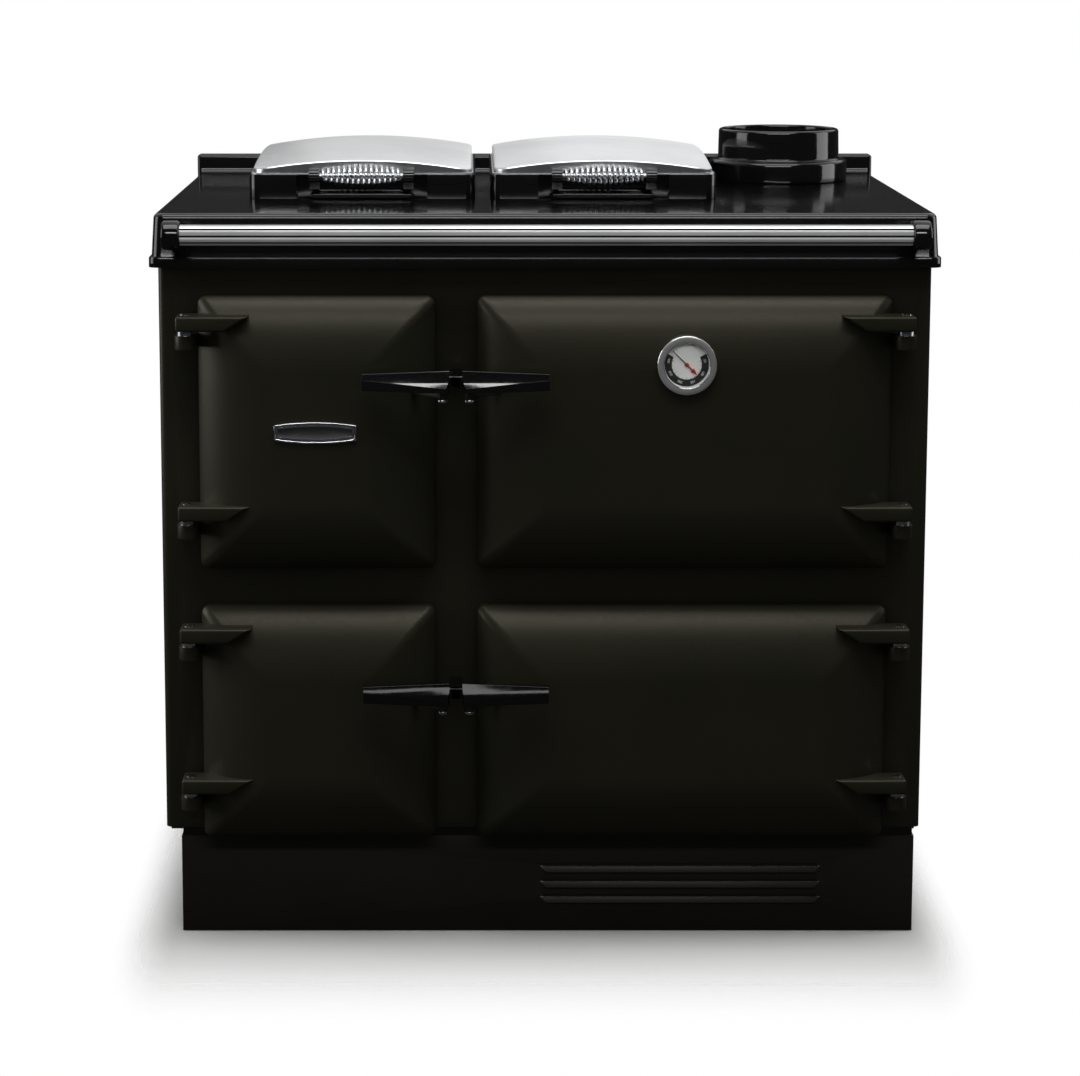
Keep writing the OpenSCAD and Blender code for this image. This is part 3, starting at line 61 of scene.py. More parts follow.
def toLinear(hexColour):
    channels = [int(hexColour[i:i + 2], 16) / 255 for i in (1, 3, 5)]
    return [c / 12.92 if c <= 0.04045 else ((c + 0.055) / 1.055) ** 2.4 for c in channels] + [1]


def addNode(tree, kind, values=None, links=None, **settings):
    node = tree.nodes.new("ShaderNode" + kind)
    for key, value in settings.items():
        setattr(node, key, value)
    for key, value in (values or {}).items():
        node.inputs[key].default_value = value
    for key, socket in (links or {}).items():
        tree.links.new(socket, node.inputs[key])
    return node


def newMaterial(name, **sockets):
    material = bpy.data.materials.new(name)
    material.use_nodes = True
    tree = material.node_tree
    shader = tree.nodes["Principled BSDF"]
    for key, value in sockets.items():
        shader.inputs[key.replace("_", " ")].default_value = value
    place = addNode(tree, "TexCoord").outputs["Object"]
    return material, tree, shader, place


def noise(tree, place, size, detail):
    cloud = addNode(tree, "TexNoise", {"Scale": 1 / (size * mm), "Detail": detail}, {"Vector": place})
    return cloud.outputs["Fac"]


# Lets a noise between two of its values drive the roughness from low to high
def roughen(tree, shader, level, first, last, low, high):
    ends = {"From Min": first, "From Max": last, "To Min": low, "To Max": high}
    rough = addNode(tree, "MapRange", ends, {"Value": level})
    tree.links.new(rough.outputs["Result"], shader.inputs["Roughness"])


# What the materials have in common; sizes are in millimetres
weatherLook = {"detail": 2, "relief": 0.01, "strength": 0.2, "cloudDetail": 3, "tones": (0.35, 0.65),
               "wander": (0.3, 0.7)}


# Two tones in soft clouds, a roughness that wanders, and a fine relief
def weather(tree, shader, place, look):
    look = {**weatherLook, **look}
    cloud = noise(tree, place, look["cloud"], look["cloudDetail"])
    ramp = addNode(tree, "ValToRGB", links={"Fac": cloud})
    for stop, level, tone in zip(ramp.color_ramp.elements, look["tones"], ("deep", "colour")):
        stop.position = level
        stop.color = toLinear(look[tone])
    tree.links.new(ramp.outputs["Color"], shader.inputs["Base Color"])
    fine = noise(tree, place, look["grain"], look["detail"])
    roughen(tree, shader, fine, *look["wander"], *look["rough"])
    bump = addNode(tree, "Bump", {"Strength": look["strength"], "Distance": look["relief"] * mm},
                   {"Height": fine})
    tree.links.new(bump.outputs["Normal"], shader.inputs["Normal"])


# What feeds one of the shader's sockets so far
def feed(shader, name):
    return shader.inputs[name].links[0].from_socket


# Lays a second relief over the fine one
def overlay(tree, shader, height, strength, depth):
    ridge = addNode(tree, "Bump", {"Strength": strength, "Distance": depth * mm},
                    {"Height": height, "Normal": feed(shader, "Normal")})
    tree.links.new(ridge.outputs["Normal"], shader.inputs["Normal"])


def plainMaterial(name, look, **sockets):
    material, tree, shader, place = newMaterial(name, **sockets)
    weather(tree, shader, place, look)
    return material


# Vitreous enamel fired on cast iron: deep olive black, a glassy skin with slight orange peel
def oliveEnamel():
    return plainMaterial("oliveVitreousEnamel", {"colour": "#2b2a21", "deep": "#27271f", "cloud": 240,
        "grain": 5, "detail": 1, "rough": (0.36, 0.42), "relief": 0.05,
        "strength": 0.35}, Specular_IOR_Level=0.3, Specular_Tint=toLinear("#fff6dc"))


# The same enamel in jet black with a full gloss, as on the top plate
def jetEnamel():
    return plainMaterial("jetVitreousEnamel", {"colour": "#0b0b0c", "deep": "#080809", "cloud": 200,
        "grain": 9, "detail": 1, "rough": (0.07, 0.11), "relief": 0.05,
        "strength": 0.3}, Specular_IOR_Level=0.45)


# The same jet enamel on the hob top, its gloss dulled by pans and wiping
def wornJetEnamel():
    return plainMaterial("wipedVitreousEnamel", {"colour": "#0c0c0d", "deep": "#090909", "cloud": 120,
        "grain": 2.5, "detail": 4, "rough": (0.1, 0.15)}, Specular_IOR_Level=0.4)


# Satin stoved paint on the folded plinth sheet
def plinthPaint():
    return plainMaterial("stovedSatinPaint", {"colour": "#181510", "deep": "#15120e", "cloud": 160,
        "grain": 1.2, "detail": 3, "rough": (0.3, 0.36), "relief": 0.02,
        "strength": 0.3}, Specular_IOR_Level=0.42)


# Grey cast iron as it leaves the mould: sand texture, dark and dull
def sandCastIron():
    return plainMaterial("sandCastIron", {"colour": "#4a4743", "deep": "#393633", "cloud": 60, "grain": 1.4,
        "detail": 6, "rough": (0.55, 0.75), "relief": 0.25, "strength": 0.8}, Metallic=0.6)


# Cast iron milled flat, with the arcs of the cutter and a blue grey sheen
def milledIron():
    look = {"colour": "#7a7b7d", "deep": "#626365", "cloud": 90, "grain": 0.9, "detail": 5,
            "rough": (0.3, 0.45), "relief": 0.03, "strength": 0.5, "arc": 6, "bend": 0.4, "arcDetail": 2,
            "arcStrength": 0.15, "arcDepth": 0.03}
    material, tree, shader, place = newMaterial("milledCastIron", Metallic=0.9)
    weather(tree, shader, place, look)
    arcs = addNode(tree, "TexWave", {"Scale": wave / (look["arc"] * mm), "Distortion": look["bend"],
                                     "Detail": look["arcDetail"]},
                   {"Vector": place}, wave_type="RINGS", rings_direction="Z")
    overlay(tree, shader, arcs.outputs["Fac"], look["arcStrength"], look["arcDepth"])
    return material


# Chromium plate over polished steel: mirror bright with the faintest haze
def chromePlate():
    return plainMaterial("chromePlate", {"colour": "#e4e6e8", "deep": "#d8dadd", "cloud": 40, "grain": 2.5,
        "rough": (0.05, 0.1)}, Metallic=1)


# Spun stainless steel, polished by hand: bright, with hazy wipe marks from front to back
def polishedStainless():
    look = {"colour": "#e3e4e5", "deep": "#d8d9db", "cloud": 120, "grain": 9, "detail": 1,
            "rough": (0.28, 0.32), "relief": 0.006, "strength": 0.1, "wipe": (0.8, 60, 0.8),
            "wipeDetail": 3, "wipeStrength": 0.06, "wipeDepth": 0.01}
    material, tree, shader, place = newMaterial("polishedStainless", Metallic=1)
    weather(tree, shader, place, look)
    scale = [1 / (size * mm) for size in look["wipe"]]
    stretch = addNode(tree, "Mapping", {"Scale": scale}, {"Vector": place})
    wipe = noise(tree, stretch.outputs["Vector"], 1 / mm, look["wipeDetail"])  # as the mapping scales it
    overlay(tree, shader, wipe, look["wipeStrength"], look["wipeDepth"])
    return material


# Fluted aluminium tube, drawn and satin anodised: light even in shade
def satinAluminium():
    return plainMaterial("satinAluminium", {"colour": "#e2e2e2", "deep": "#d6d6d7", "cloud": 80,
        "grain": 1.5, "detail": 3, "rough": (0.3, 0.38)}, Metallic=0.72)


# The same aluminium, darkened in the bottom of the flutes: a painted shade in the grooves
def flutePaintedShade():
    return plainMaterial("fluteAluminiumPaintedShade", {"colour": "#2e2e30", "deep": "#252527", "cloud": 80,
        "grain": 1.5, "detail": 3, "rough": (0.5, 0.6)}, Metallic=0.7)


# Drawn steel bar, turned and brushed: pins and screws
def brightSteel():
    return plainMaterial("drawnSteel", {"colour": "#b9bbbd", "deep": "#a2a4a7", "cloud": 15, "grain": 0.6,
        "detail": 4, "rough": (0.2, 0.34), "relief": 0.02, "strength": 0.4}, Metallic=1)


# Hot dip zinc on sheet steel, with its spangle of pale crystals
def zincSheet():
    look = {"colour": "#b4b7ba", "deep": "#abaeb1", "cloud": 70, "grain": 3, "detail": 3,
            "rough": (0.4, 0.46), "relief": 0.02, "spangle": 14, "spangleDeep": 0.74, "spangleShare": 0.7}
    material, tree, shader, place = newMaterial("galvanisedSheet", Metallic=0.9)
    weather(tree, shader, place, look)
    spangle = addNode(tree, "TexVoronoi", {"Scale": 1 / (look["spangle"] * mm)}, {"Vector": place})
    tone = addNode(tree, "MapRange", {"To Min": look["spangleDeep"]}, {"Value": spangle.outputs["Color"]})
    mix = addNode(tree, "Mix", {"Factor": look["spangleShare"]},
                  {"A": feed(shader, "Base Color"), "B": tone.outputs["Result"]},
                  data_type="RGBA", blend_type="MULTIPLY")
    tree.links.new(mix.outputs["Result"], shader.inputs["Base Color"])
    return material


# Plated wire of the oven shelves, slightly dulled by heat
def platedWire():
    return plainMaterial("platedShelfWire", {"colour": "#bcb9b2", "deep": "#a39a8a", "cloud": 45,
        "grain": 1.5, "detail": 4, "rough": (0.16, 0.32), "relief": 0.02, "strength": 0.3}, Metallic=1)


# Braided glass fibre rope: off white yarn with a crossing weave
def glassRope():
    look = {"colour": "#8c867a", "deep": "#6d685f", "cloud": 12, "grain": 1, "detail": 5,
            "rough": (0.85, 0.95), "relief": 0.3, "strength": 0.8, "braid": 3.2, "bend": 1.5,
            "braidStrength": 0.7, "braidDepth": 0.6}
    material, tree, shader, place = newMaterial("glassFibreRope", Sheen_Weight=0.3)
    weather(tree, shader, place, look)
    braid = addNode(tree, "TexWave", {"Scale": wave / (look["braid"] * mm), "Distortion": look["bend"]},
                    {"Vector": place}, bands_direction="DIAGONAL")
    overlay(tree, shader, braid.outputs["Fac"], look["braidStrength"], look["braidDepth"])
    return material


# Yellow brown mineral wool
def mineralWool():
    return plainMaterial("mineralWool", {"colour": "#b49a62", "deep": "#93804f", "cloud": 50, "grain": 2.5,
        "detail": 8, "rough": (0.9, 1.0), "relief": 2, "strength": 0.9})


# Red stoved paint on the burner's die cast casing
def burnerPaint():
    return plainMaterial("burnerCasingPaint", {"colour": "#8e2a20", "deep": "#7c231b", "cloud": 50,
        "grain": 1.6, "detail": 3, "rough": (0.32, 0.42), "relief": 0.04, "strength": 0.4})


# Powder coat in pale grey: a fine even peel
def fasciaPaint():
    return plainMaterial("greyPowderCoat", {"colour": "#bfc1c1", "deep": "#b4b6b6", "cloud": 70,
        "grain": 0.9, "rough": (0.42, 0.52), "relief": 0.04, "strength": 0.4})


# Phenolic moulding, black, polished by its mould
def phenolicBlack():
    return plainMaterial("phenolicMoulding", {"colour": "#121213", "deep": "#0d0d0e", "cloud": 30,
        "grain": 2, "rough": (0.16, 0.24)})


# White stoved enamel of the thermometer's dial
def dialWhite():
    return plainMaterial("dialWhiteEnamel", {"colour": "#e9e9e6", "deep": "#dedfdb", "cloud": 20,
        "grain": 0.5, "rough": (0.5, 0.6)})


# Screen printing ink on the dial, faintly raised and satin
def dialInk():
    return plainMaterial("dialPrintInk", {"colour": "#17181a", "deep": "#101113", "cloud": 8, "grain": 0.4,
        "rough": (0.45, 0.6)})


# Red lacquer on the pointer
def pointerRed():
    return plainMaterial("pointerLacquer", {"colour": "#b8202c", "deep": "#a01b26", "cloud": 6,
        "grain": 0.5, "rough": (0.35, 0.45)})


# Float glass, clear, with a trace of dust; mostly see-through, so that the dial keeps its light
def clearGlass():
    look = {"colour": "#f6fbf9", "dust": 8, "detail": 6, "dusty": (0.5, 0.8), "rough": (0.01, 0.06)}
    material, tree, shader, place = newMaterial("floatGlass", Transmission_Weight=1, IOR=1.5, Alpha=0.3,
                                                Base_Color=toLinear(look["colour"]))
    roughen(tree, shader, noise(tree, place, look["dust"], look["detail"]), *look["dusty"], *look["rough"])
    return material


finishes = {
    "dark_enamel": oliveEnamel(), "black_enamel": jetEnamel(), "plinth_paint": plinthPaint(),
    "cast_iron": sandCastIron(), "machined_iron": milledIron(), "chrome": chromePlate(),
    "steel": brightSteel(), "zinc_sheet": zincSheet(), "shelf_steel": platedWire(),
    "rope_seal": glassRope(), "mineral_wool": mineralWool(), "burner_paint": burnerPaint(),
    "fascia_paint": fasciaPaint(), "knob_plastic": phenolicBlack(), "dial_white": dialWhite(),
    "gauge_glass": clearGlass(), "needle_paint": pointerRed(),
}
stainless = polishedStainless()
aluminium = satinAluminium()
grooveShadeAluminium = flutePaintedShade()
hobEnamel = wornJetEnamel()
ink = dialInk()
print("materials made")

slotOf = {part["node"]: part["material_slot"] for part in frame["record"]["subparts"]}
bodyOf = {node: body for body, held in frame["record"]["behaviour"]["bodies"].items() for node in held}
for nodeName, node in nodes.items():
    node.data.materials.clear()
    node.data.materials.append(finishes[slotOf[nodeName]])


arcSteps = 6  # steps of a quarter turn on a profile
near = 1e-5  # metres within which two places are the same
# What counts as one place, as one face and as an arris, in millimetres and degrees
mergeLook = {"distance": 0.02, "angle": 0.4, "profile": 0.002, "arris": 40}


def addObject(name, data):
    item = bpy.data.objects.new(name, data)
    bpy.context.scene.collection.objects.link(item)
    return item


# Mesh of a bmesh, which is freed
def intoMesh(bm, name):
    mesh = bpy.data.meshes.new(name)
    bm.to_mesh(mesh)
    bm.free()
    return mesh


# Mesh of an object that something else makes, such as a curve or a modifier; the object goes
def takeMesh(item):
    mesh = bpy.data.meshes.new_from_object(item.evaluated_get(bpy.context.evaluated_depsgraph_get()))
    bpy.data.objects.remove(item)
    return mesh


# A bmesh becomes an object that rides on a body and takes the place of CAD nodes
def makePiece(bm, name, body, slot, material=None, stands=(), smoothAngle=35, more=()):
    mesh = intoMesh(bm, name)
    piece = addObject(name, mesh)
    for finish in (material or finishes[slot], *more):
        mesh.materials.append(finish)
    mesh.shade_smooth()
    mesh.set_sharp_from_angle(angle=math.radians(smoothAngle))
    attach(piece, body)
    if stands:
        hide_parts(*stands)


def faceOutwards(bm):
    bmesh.ops.recalc_face_normals(bm, faces=bm.faces)


# Closed shell that takes the place of one node and rides on its body
def standIn(bm, node, name, slot, material=None, **settings):
    faceOutwards(bm)
    makePiece(bm, name, bodyOf[node], slot, material, [node], **settings)


def rotate(bm, verts, angle, axis):
    bmesh.ops.rotate(bm, verts=verts, cent=(0, 0, 0), matrix=Matrix.Rotation(angle, 3, axis))


def move(bm, verts, offset):
    bmesh.ops.translate(bm, verts=verts, vec=Vector(offset) * mm)


def edgesOf(verts):
    return list(dict.fromkeys(edge for vert in verts for edge in vert.link_edges))


def sharpEdges(bm, angle):
    return [edge for edge in bm.edges if len(edge.link_faces) == 2 and edge.calc_face_angle(0) > angle]


def roundEdges(bm, edges, radius, segments=3):
    bmesh.ops.bevel(bm, geom=edges, affect="EDGES", offset=radius * mm, segments=segments, profile=0.5,
                    material=-1, clamp_overlap=True)


# Copy of a CAD mesh with its triangles merged into the faces that they make up
def mergedCopy(node):
    bm = bmesh.new()
    bm.from_mesh(nodes[node].data)
    bmesh.ops.remove_doubles(bm, verts=bm.verts, dist=mergeLook["distance"] * mm)
    flat = math.radians(mergeLook["angle"])
    bmesh.ops.dissolve_limit(bm, angle_limit=flat, verts=bm.verts, edges=bm.edges)
    return bm


# A casting's own shape with its arrises and its inner corners rounded as the mould and the enamel round them
def softened(node, radius, segments=3, reshape=None):
    bm = mergedCopy(node)
    if reshape:
        reshape(bm)
    roundEdges(bm, sharpEdges(bm, math.radians(mergeLook["arris"])), radius, segments)
    makePiece(bm, node + "_finished", bodyOf[node], slotOf[node], stands=[node])


# Plain box between two corners in millimetres; gives back its vertices
def block(bm, low, high):
    low, high = Vector(low) * mm, Vector(high) * mm
    place = Matrix.Translation((low + high) / 2) @ Matrix.Diagonal((*(high - low), 1))
    return bmesh.ops.create_cube(bm, size=1, matrix=place)["verts"]


# Box with all its edges rounded, its corners given in millimetres
def roundedBox(bm, low, high, radius, segments=4):
    roundEdges(bm, edgesOf(block(bm, low, high)), radius, segments)


# Solid bar or disc along an axis, with its two rims rounded
def roundBar(bm, axis, start, length, radius, rim=0.5, segments=32):
    turn = {"X": Matrix.Rotation(math.pi / 2, 4, "Y"), "Y": Matrix.Rotation(-math.pi / 2, 4, "X"),
            "Z": Matrix.Identity(4)}[axis]
    place = Matrix.Translation(Vector(start) * mm) @ turn @ Matrix.Translation((0, 0, length * mm / 2))
    made = bmesh.ops.create_cone(bm, cap_ends=True, segments=segments, radius1=radius * mm,
                                 radius2=radius * mm, depth=length * mm, matrix=place)["verts"]
    rims = [edge for edge in edgesOf(made) if any(len(face.verts) > 4 for face in edge.link_faces)]
    roundEdges(bm, rims, rim)


# Points of a round stretch from one direction to another, in degrees
def arc(cx, cy, radius, start, end, count=arcSteps):
    turns = [math.radians(start + (end - start) * i / count) for i in range(count + 1)]
    return [(cx + radius * math.cos(turn), cy + radius * math.sin(turn)) for turn in turns]


# Closed ring or vessel turned from a profile of (radius, height) points about an axis through a point
def turned(bm, profile, centre, axis, steps=96):
    verts = [bm.verts.new(Vector((radius, 0, height)) * mm) for radius, height in profile]
    edges = [bm.edges.new(pair) for pair in zip(verts, verts[1:])]
    bmesh.ops.spin(bm, geom=verts + edges, cent=(0, 0, 0), axis=(0, 0, 1), dvec=(0, 0, 0),
                   angle=2 * math.pi, steps=steps, use_merge=True, use_duplicate=False)
    bmesh.ops.remove_doubles(bm, verts=bm.verts, dist=mergeLook["profile"] * mm)
    if axis == "-Y":
        rotate(bm, bm.verts, math.pi / 2, "X")
    move(bm, bm.verts, centre)


# Rounded rectangle as one face that looks forwards ("XZ") or up ("XY"), its corners given in millimetres
def outline(bm, low, high, level, radius, plane="XZ", segments=8, cuts=0):
    verts = []
    for right, up, start in ((1, 0, -90), (1, 1, 0), (0, 1, 90), (0, 0, 180)):
        cx = high[0] - radius if right else low[0] + radius
        cy = high[1] - radius if up else low[1] + radius
        for a, b in arc(cx, cy, radius, start, start + 90, segments):
            verts.append(bm.verts.new(Vector((a, level, b) if plane == "XZ" else (a, b, level)) * mm))
    face = bm.faces.new(verts)
    if cuts:
        long = [edge for edge in face.edges if edge.calc_length() > 3 * radius * mm]
        bmesh.ops.subdivide_edges(bm, edges=long, cuts=cuts)
        face = list(bm.faces)[0]
    face.normal_update()
    turnedAway = face.normal.y > 0 if plane == "XZ" else face.normal.z < 0
    if turnedAway:
        face.normal_flip()
    return face


# Raises a face in steps of (inset, rise), both in millimetres from where it began
def raiseFace(bm, face, steps):
    normal = face.normal.copy()
    start = [vert.co.copy() for vert in face.verts]
    low = Vector([min(co[i] for co in start) for i in range(3)])
    high = Vector([max(co[i] for co in start) for i in range(3)])
    centre = (low + high) / 2
    for inset, rise in steps:
        face = bmesh.ops.extrude_discrete_faces(bm, faces=[face])["faces"][0]
        shrink = [1 - 2 * inset * mm / max(high[i] - low[i], near) for i in range(3)]
        for vert, co in zip(face.verts, start):
            away = co - centre
            vert.co = centre + Vector([away[i] * shrink[i] for i in range(3)]) + normal * rise * mm


# Draws a face out along X
def drawOut(bm, face, length):
    grown = bmesh.ops.extrude_face_region(bm, geom=[face])["geom"]
    move(bm, [item for item in grown if isinstance(item, bmesh.types.BMVert)], (length, 0, 0))


doorLook = {
    "hingeEdge": 433.5, "left": 137.5, "right": -84.5,  # the hinge edge, and each side's free edge
    "upper": (490.7, 837.2), "lower": (139.7, 442.7),  # bottom and top edges of each row
    "back": -281.5, "edge": 12, "rise": 45, "run": 90, "corner": 10,
    "root": 1.5, "soft": 2.6, "rings": 24, "crowding": 1.15,  # rim's rounding, and rings of the dome
    "softSteps": ((0, -1), (0.12, -0.35), (0.5, 0.3)),
}


# Height of the dome over its rim at a distance from the door's edge
def domeHeight(distance):
    run, rise = doorLook["run"], doorLook["rise"]
    radius = (run * run + rise * rise) / (2 * rise)
    return math.sqrt(radius ** 2 - (run - distance) ** 2) - (radius - rise)


def domedFace(bm, x0, x1, z0, z1):
    look = doorLook
    soft = look["soft"]
    steps = [(0, look["root"])] + [(a * soft, look["edge"] + b * soft) for a, b in look["softSteps"]]
    for i in range(1, look["rings"] + 1):
        away = soft + (look["run"] - soft) * (i / look["rings"]) ** look["crowding"]
        steps.append((away, look["edge"] + domeHeight(away)))
    raiseFace(bm, outline(bm, (x0, z0), (x1, z1), look["back"], look["corner"]), steps)


armLook = {"pinX": 447, "tip": 80, "end": 10.5, "front": -339, "back": -300, "low": -7.5, "high": 11.5,
           "radius": 3.5, "fromTop": 32, "fromBottom": 76, "slant": 30}


# Hinge arm: a bar whose free end slants back into the dome
def hingeArm(bm, z):
    look = armLook
    start, end = look["pinX"] - look["tip"], look["pinX"] + look["end"]
    made = block(bm, (start, look["front"], z + look["low"]), (end, look["back"], z + look["high"]))
    for vert in made:
        if vert.co.x < (start + end) / 2 * mm and vert.co.z < z * mm:
            vert.co.x += look["slant"] * mm
    roundEdges(bm, edgesOf(made), look["radius"], 4)


eyeLook = {"upper": 717.15, "lower": 322.65, "height": 8, "radius": 6.6, "round": 1, "reach": (40, 40.5),
           "armHalf": 4.5, "armRound": 1.5}


# Eye that carries the handle's pin, on a short arm from the door
def handleEye(bm, side, row):
    look = eyeLook
    foot = (handleLook[side], handleLook["y"], look[row])
    roundBar(bm, "Z", foot, look["height"], look["radius"], look["round"])
    arm = bmesh.new()
    across, along = look["reach"]
    roundedBox(arm, (0, -look["armHalf"], 0), (math.hypot(across, along), look["armHalf"], look["height"]),
               look["armRound"])
    rotate(arm, arm.verts, math.atan2(along, across), "Z")
    move(arm, arm.verts, foot)
    joined = intoMesh(arm, "eyeArm")
    bm.from_mesh(joined)
    bpy.data.meshes.remove(joined)


seatLook = {"x": 174.5, "z": 756.7, "radius": 37.6, "front": -350, "floor": -326.5, "round": 0.4,
            "segments": 96}


# The upper right door with the thermometer's round seat sunk into it
def sinkSeat(bm):
    look = seatLook
    cutter = bmesh.new()
    depth = look["floor"] - look["front"]
    roundBar(cutter, "Y", (look["x"], look["front"], look["z"]), depth, look["radius"], look["round"],
             look["segments"])
    faceOutwards(cutter)
    blank = addObject("blank", intoMesh(bm, "blank"))
    drill = addObject("drill", intoMesh(cutter, "drill"))
    cut = blank.modifiers.new("seat", "BOOLEAN")
    cut.operation, cut.object, cut.solver = "DIFFERENCE", drill, "EXACT"
    sunk = bmesh.new()
    sunk.from_mesh(takeMesh(blank))
    bpy.data.objects.remove(drill)
    return sunk


def mirrorLeft(bm, side):
    if side == "left":
        bmesh.ops.scale(bm, vec=(-1, 1, 1), verts=bm.verts)


def door(name, side, row):
    look = doorLook
    bm = bmesh.new()
    z0, z1 = look[row]
    domedFace(bm, look[side], look["hingeEdge"], z0, z1)
    faceOutwards(bm)
    if name == "upper_right_door":
        bm = sinkSeat(bm)
    for z in (z0 + armLook["fromBottom"], z1 - armLook["fromTop"]):
        hingeArm(bm, z)
    handleEye(bm, side, row)
    mirrorLeft(bm, side)
    standIn(bm, name, name + "_casting", "dark_enamel")


handleLook = {"left": 127.5, "right": -94.5, "y": -354.5, "upper": 739.2, "lower": 344.7,
              "height": 27.5, "length": 99, "tip": 20.5, "tipUp": 3, "depth": 16,
              "barrel": 8.5, "barrelShare": 0.75, "barrelRound": 2.5,
              "inner": 7, "crest": 3.5, "edge": 0.8,  # radii of its edges
              "lowerTilt": 18, "upperTilt": 25,  # of the two upper facets
              "line": 13.2, "ridge": (5.5, 16), "underTilt": 0.12,  # heights over its lower edge
              "crestAngles": (0.9, 1.35), "crestLength": 30, "arris": 0.2}  # what edges count as what
noseLook = {"start": -25, "end": -16, "back": -297, "half": 7, "stem": 4, "stemStart": -24, "round": 2}


# Cuts a lever's blank by a plane through a point, and closes the cut with one face
def planed(bm, point, normal):
    cut = bmesh.ops.bisect_plane(bm, geom=bm.verts[:] + bm.edges[:] + bm.faces[:], plane_co=point,
                                 plane_no=normal, clear_outer=True)["geom_cut"]
    bmesh.ops.contextual_create(bm, geom=[item for item in cut if isinstance(item, bmesh.types.BMEdge)])


# Blade of a lever: tapered, its front split by a slanting ridge
def blade(bm, x, y, zc):
    look = handleLook
    z0, inner = zc - look["height"] / 2, x - look["barrel"]
    tip, front = x + look["length"], y - look["depth"]
    for vert in block(bm, (inner, front, z0), (tip, y, z0 + look["height"])):
        if vert.co.x > x * mm:
            vert.co.z = (z0 + look["tipUp"] + (look["tip"] if vert.co.z > zc * mm else 0)) * mm
    upright = [edge for edge in bm.edges if all(abs(vert.co.x - inner * mm) < near for vert in edge.verts)
               and abs(edge.verts[0].co.z - edge.verts[1].co.z) > mm]
    roundEdges(bm, upright, look["inner"], 6)
    lean = [math.radians(look[key]) for key in ("lowerTilt", "upperTilt")]
    line = front + (look["line"] - look["ridge"][0]) * math.tan(lean[0])
    for tilt in lean[::-1]:
        planed(bm, Vector((x, line, z0 + look["line"])) * mm, Vector((0, -math.cos(tilt), math.sin(tilt))))
    least, most = look["crestAngles"]
    crest = [edge for edge in bm.edges if least < edge.calc_face_angle(0) < most
             and all(vert.co.z > zc * mm for vert in edge.verts)
             and abs(edge.verts[0].co.x - edge.verts[1].co.x) > look["crestLength"] * mm]
    roundEdges(bm, crest, look["crest"], 5)
    far = line + (look["ridge"][1] - look["line"]) * math.tan(lean[1])
    heel = Vector((inner, front, z0 + look["ridge"][0])) * mm
    point = Vector((tip, far, z0 + look["ridge"][1])) * mm
    normal = (point - heel).cross(Vector((0, look["underTilt"], -1)))
    planed(bm, heel, -normal if normal.y > 0 else normal)
    roundEdges(bm, sharpEdges(bm, look["arris"]), look["edge"])


# Lever: the blade on its round barrel, and the nose that bears on the keeper
def lever(name, side, row):
    look, nose = handleLook, noseLook
    x, y, zc = look[side], look["y"], look[row]
    bm = bmesh.new()
    blade(bm, x, y, zc)
    roundBar(bm, "Z", (x, y, zc - look["height"] / 2), look["height"] * look["barrelShare"], look["barrel"],
             look["barrelRound"])
    low, high = zc - nose["half"], zc + nose["half"]
    roundedBox(bm, (x + nose["start"], y, low), (x + nose["end"], nose["back"], high), nose["round"])
    stem = nose["stem"]
    roundedBox(bm, (x + nose["stemStart"], y - stem, low), (x, y + stem, high), nose["round"])
    mirrorLeft(bm, side)
    standIn(bm, name, name + "_lever", "black_enamel")


leverPinLook = {"radius": 4, "down": 9.5, "length": 10, "round": 0.6,
                "knob": 6.4, "knobDown": 13, "knobLength": 4.4, "knobRound": 1.4}


# Pin that the lever turns on, with a flat knob below
def leverPin(name, side, row):
    look = leverPinLook
    x, y, z0 = handleLook[side], handleLook["y"], handleLook[row] - handleLook["height"] / 2
    bm = bmesh.new()
    roundBar(bm, "Z", (x, y, z0 - look["down"]), look["length"], look["radius"], look["round"])
    roundBar(bm, "Z", (x, y, z0 - look["knobDown"]), look["knobLength"], look["knob"], look["knobRound"])
    mirrorLeft(bm, side)
    faceOutwards(bm)
    makePiece(bm, name + "_pin", name, "steel")


keeperLook = {"x": -111, "half": 8, "front": -307.5, "back": -278.8, "low": -9, "high": -2, "round": 2}


# Keepers that the levers' noses bear on, enamelled with the front
def keepers():
    look = keeperLook
    bm = bmesh.new()
    for z in (handleLook["upper"], handleLook["lower"]):
        roundedBox(bm, (look["x"] - look["half"], look["front"], z + look["low"]),
                   (look["x"] + look["half"], look["back"], z + look["high"]), look["round"])
    standIn(bm, "latch_keepers", "latch_keepers_enamelled", "steel", finishes["dark_enamel"])


for row in ("upper", "lower"):
    for side in ("left", "right"):
        door(f"{row}_{side}_door", side, row)
        lever(f"{row}_{side}_handle", side, row)
        leverPin(f"{row}_{side}_handle", side, row)
keepers()
print("doors and handles made")

louvreLook = {"face": -253.5, "proud": 0.5, "tops": (88.5, 68, 47.5), "drop": 8, "topOut": 0.6,
              "footOut": 4.4, "near": 0.1,
              "slot": 1.333, "open": 1.2}  # half height of a slot, and how far it opens


# Louvres lean outwards as they come down, so that their faces catch the light from the front
def leanLouvres(bm):
    look = louvreLook
    for vert in bm.verts:
        for top in look["tops"]:
            if abs(vert.co.z / mm - top - look["slot"]) < look["near"]:
                vert.co.z += look["open"] * mm
        if vert.co.y < (look["face"] - look["proud"]) * mm:
            above = [top for top in look["tops"] if top >= vert.co.z / mm - look["near"]]
            top = min(above, default=look["tops"][0])
            down = min(max((top - vert.co.z / mm) / look["drop"], 0), 1)
            vert.co.y = (look["face"] - look["topOut"] - (look["footOut"] - look["topOut"]) * down) * mm
            if down < look["near"]:
                vert.co.z -= look["open"] * mm


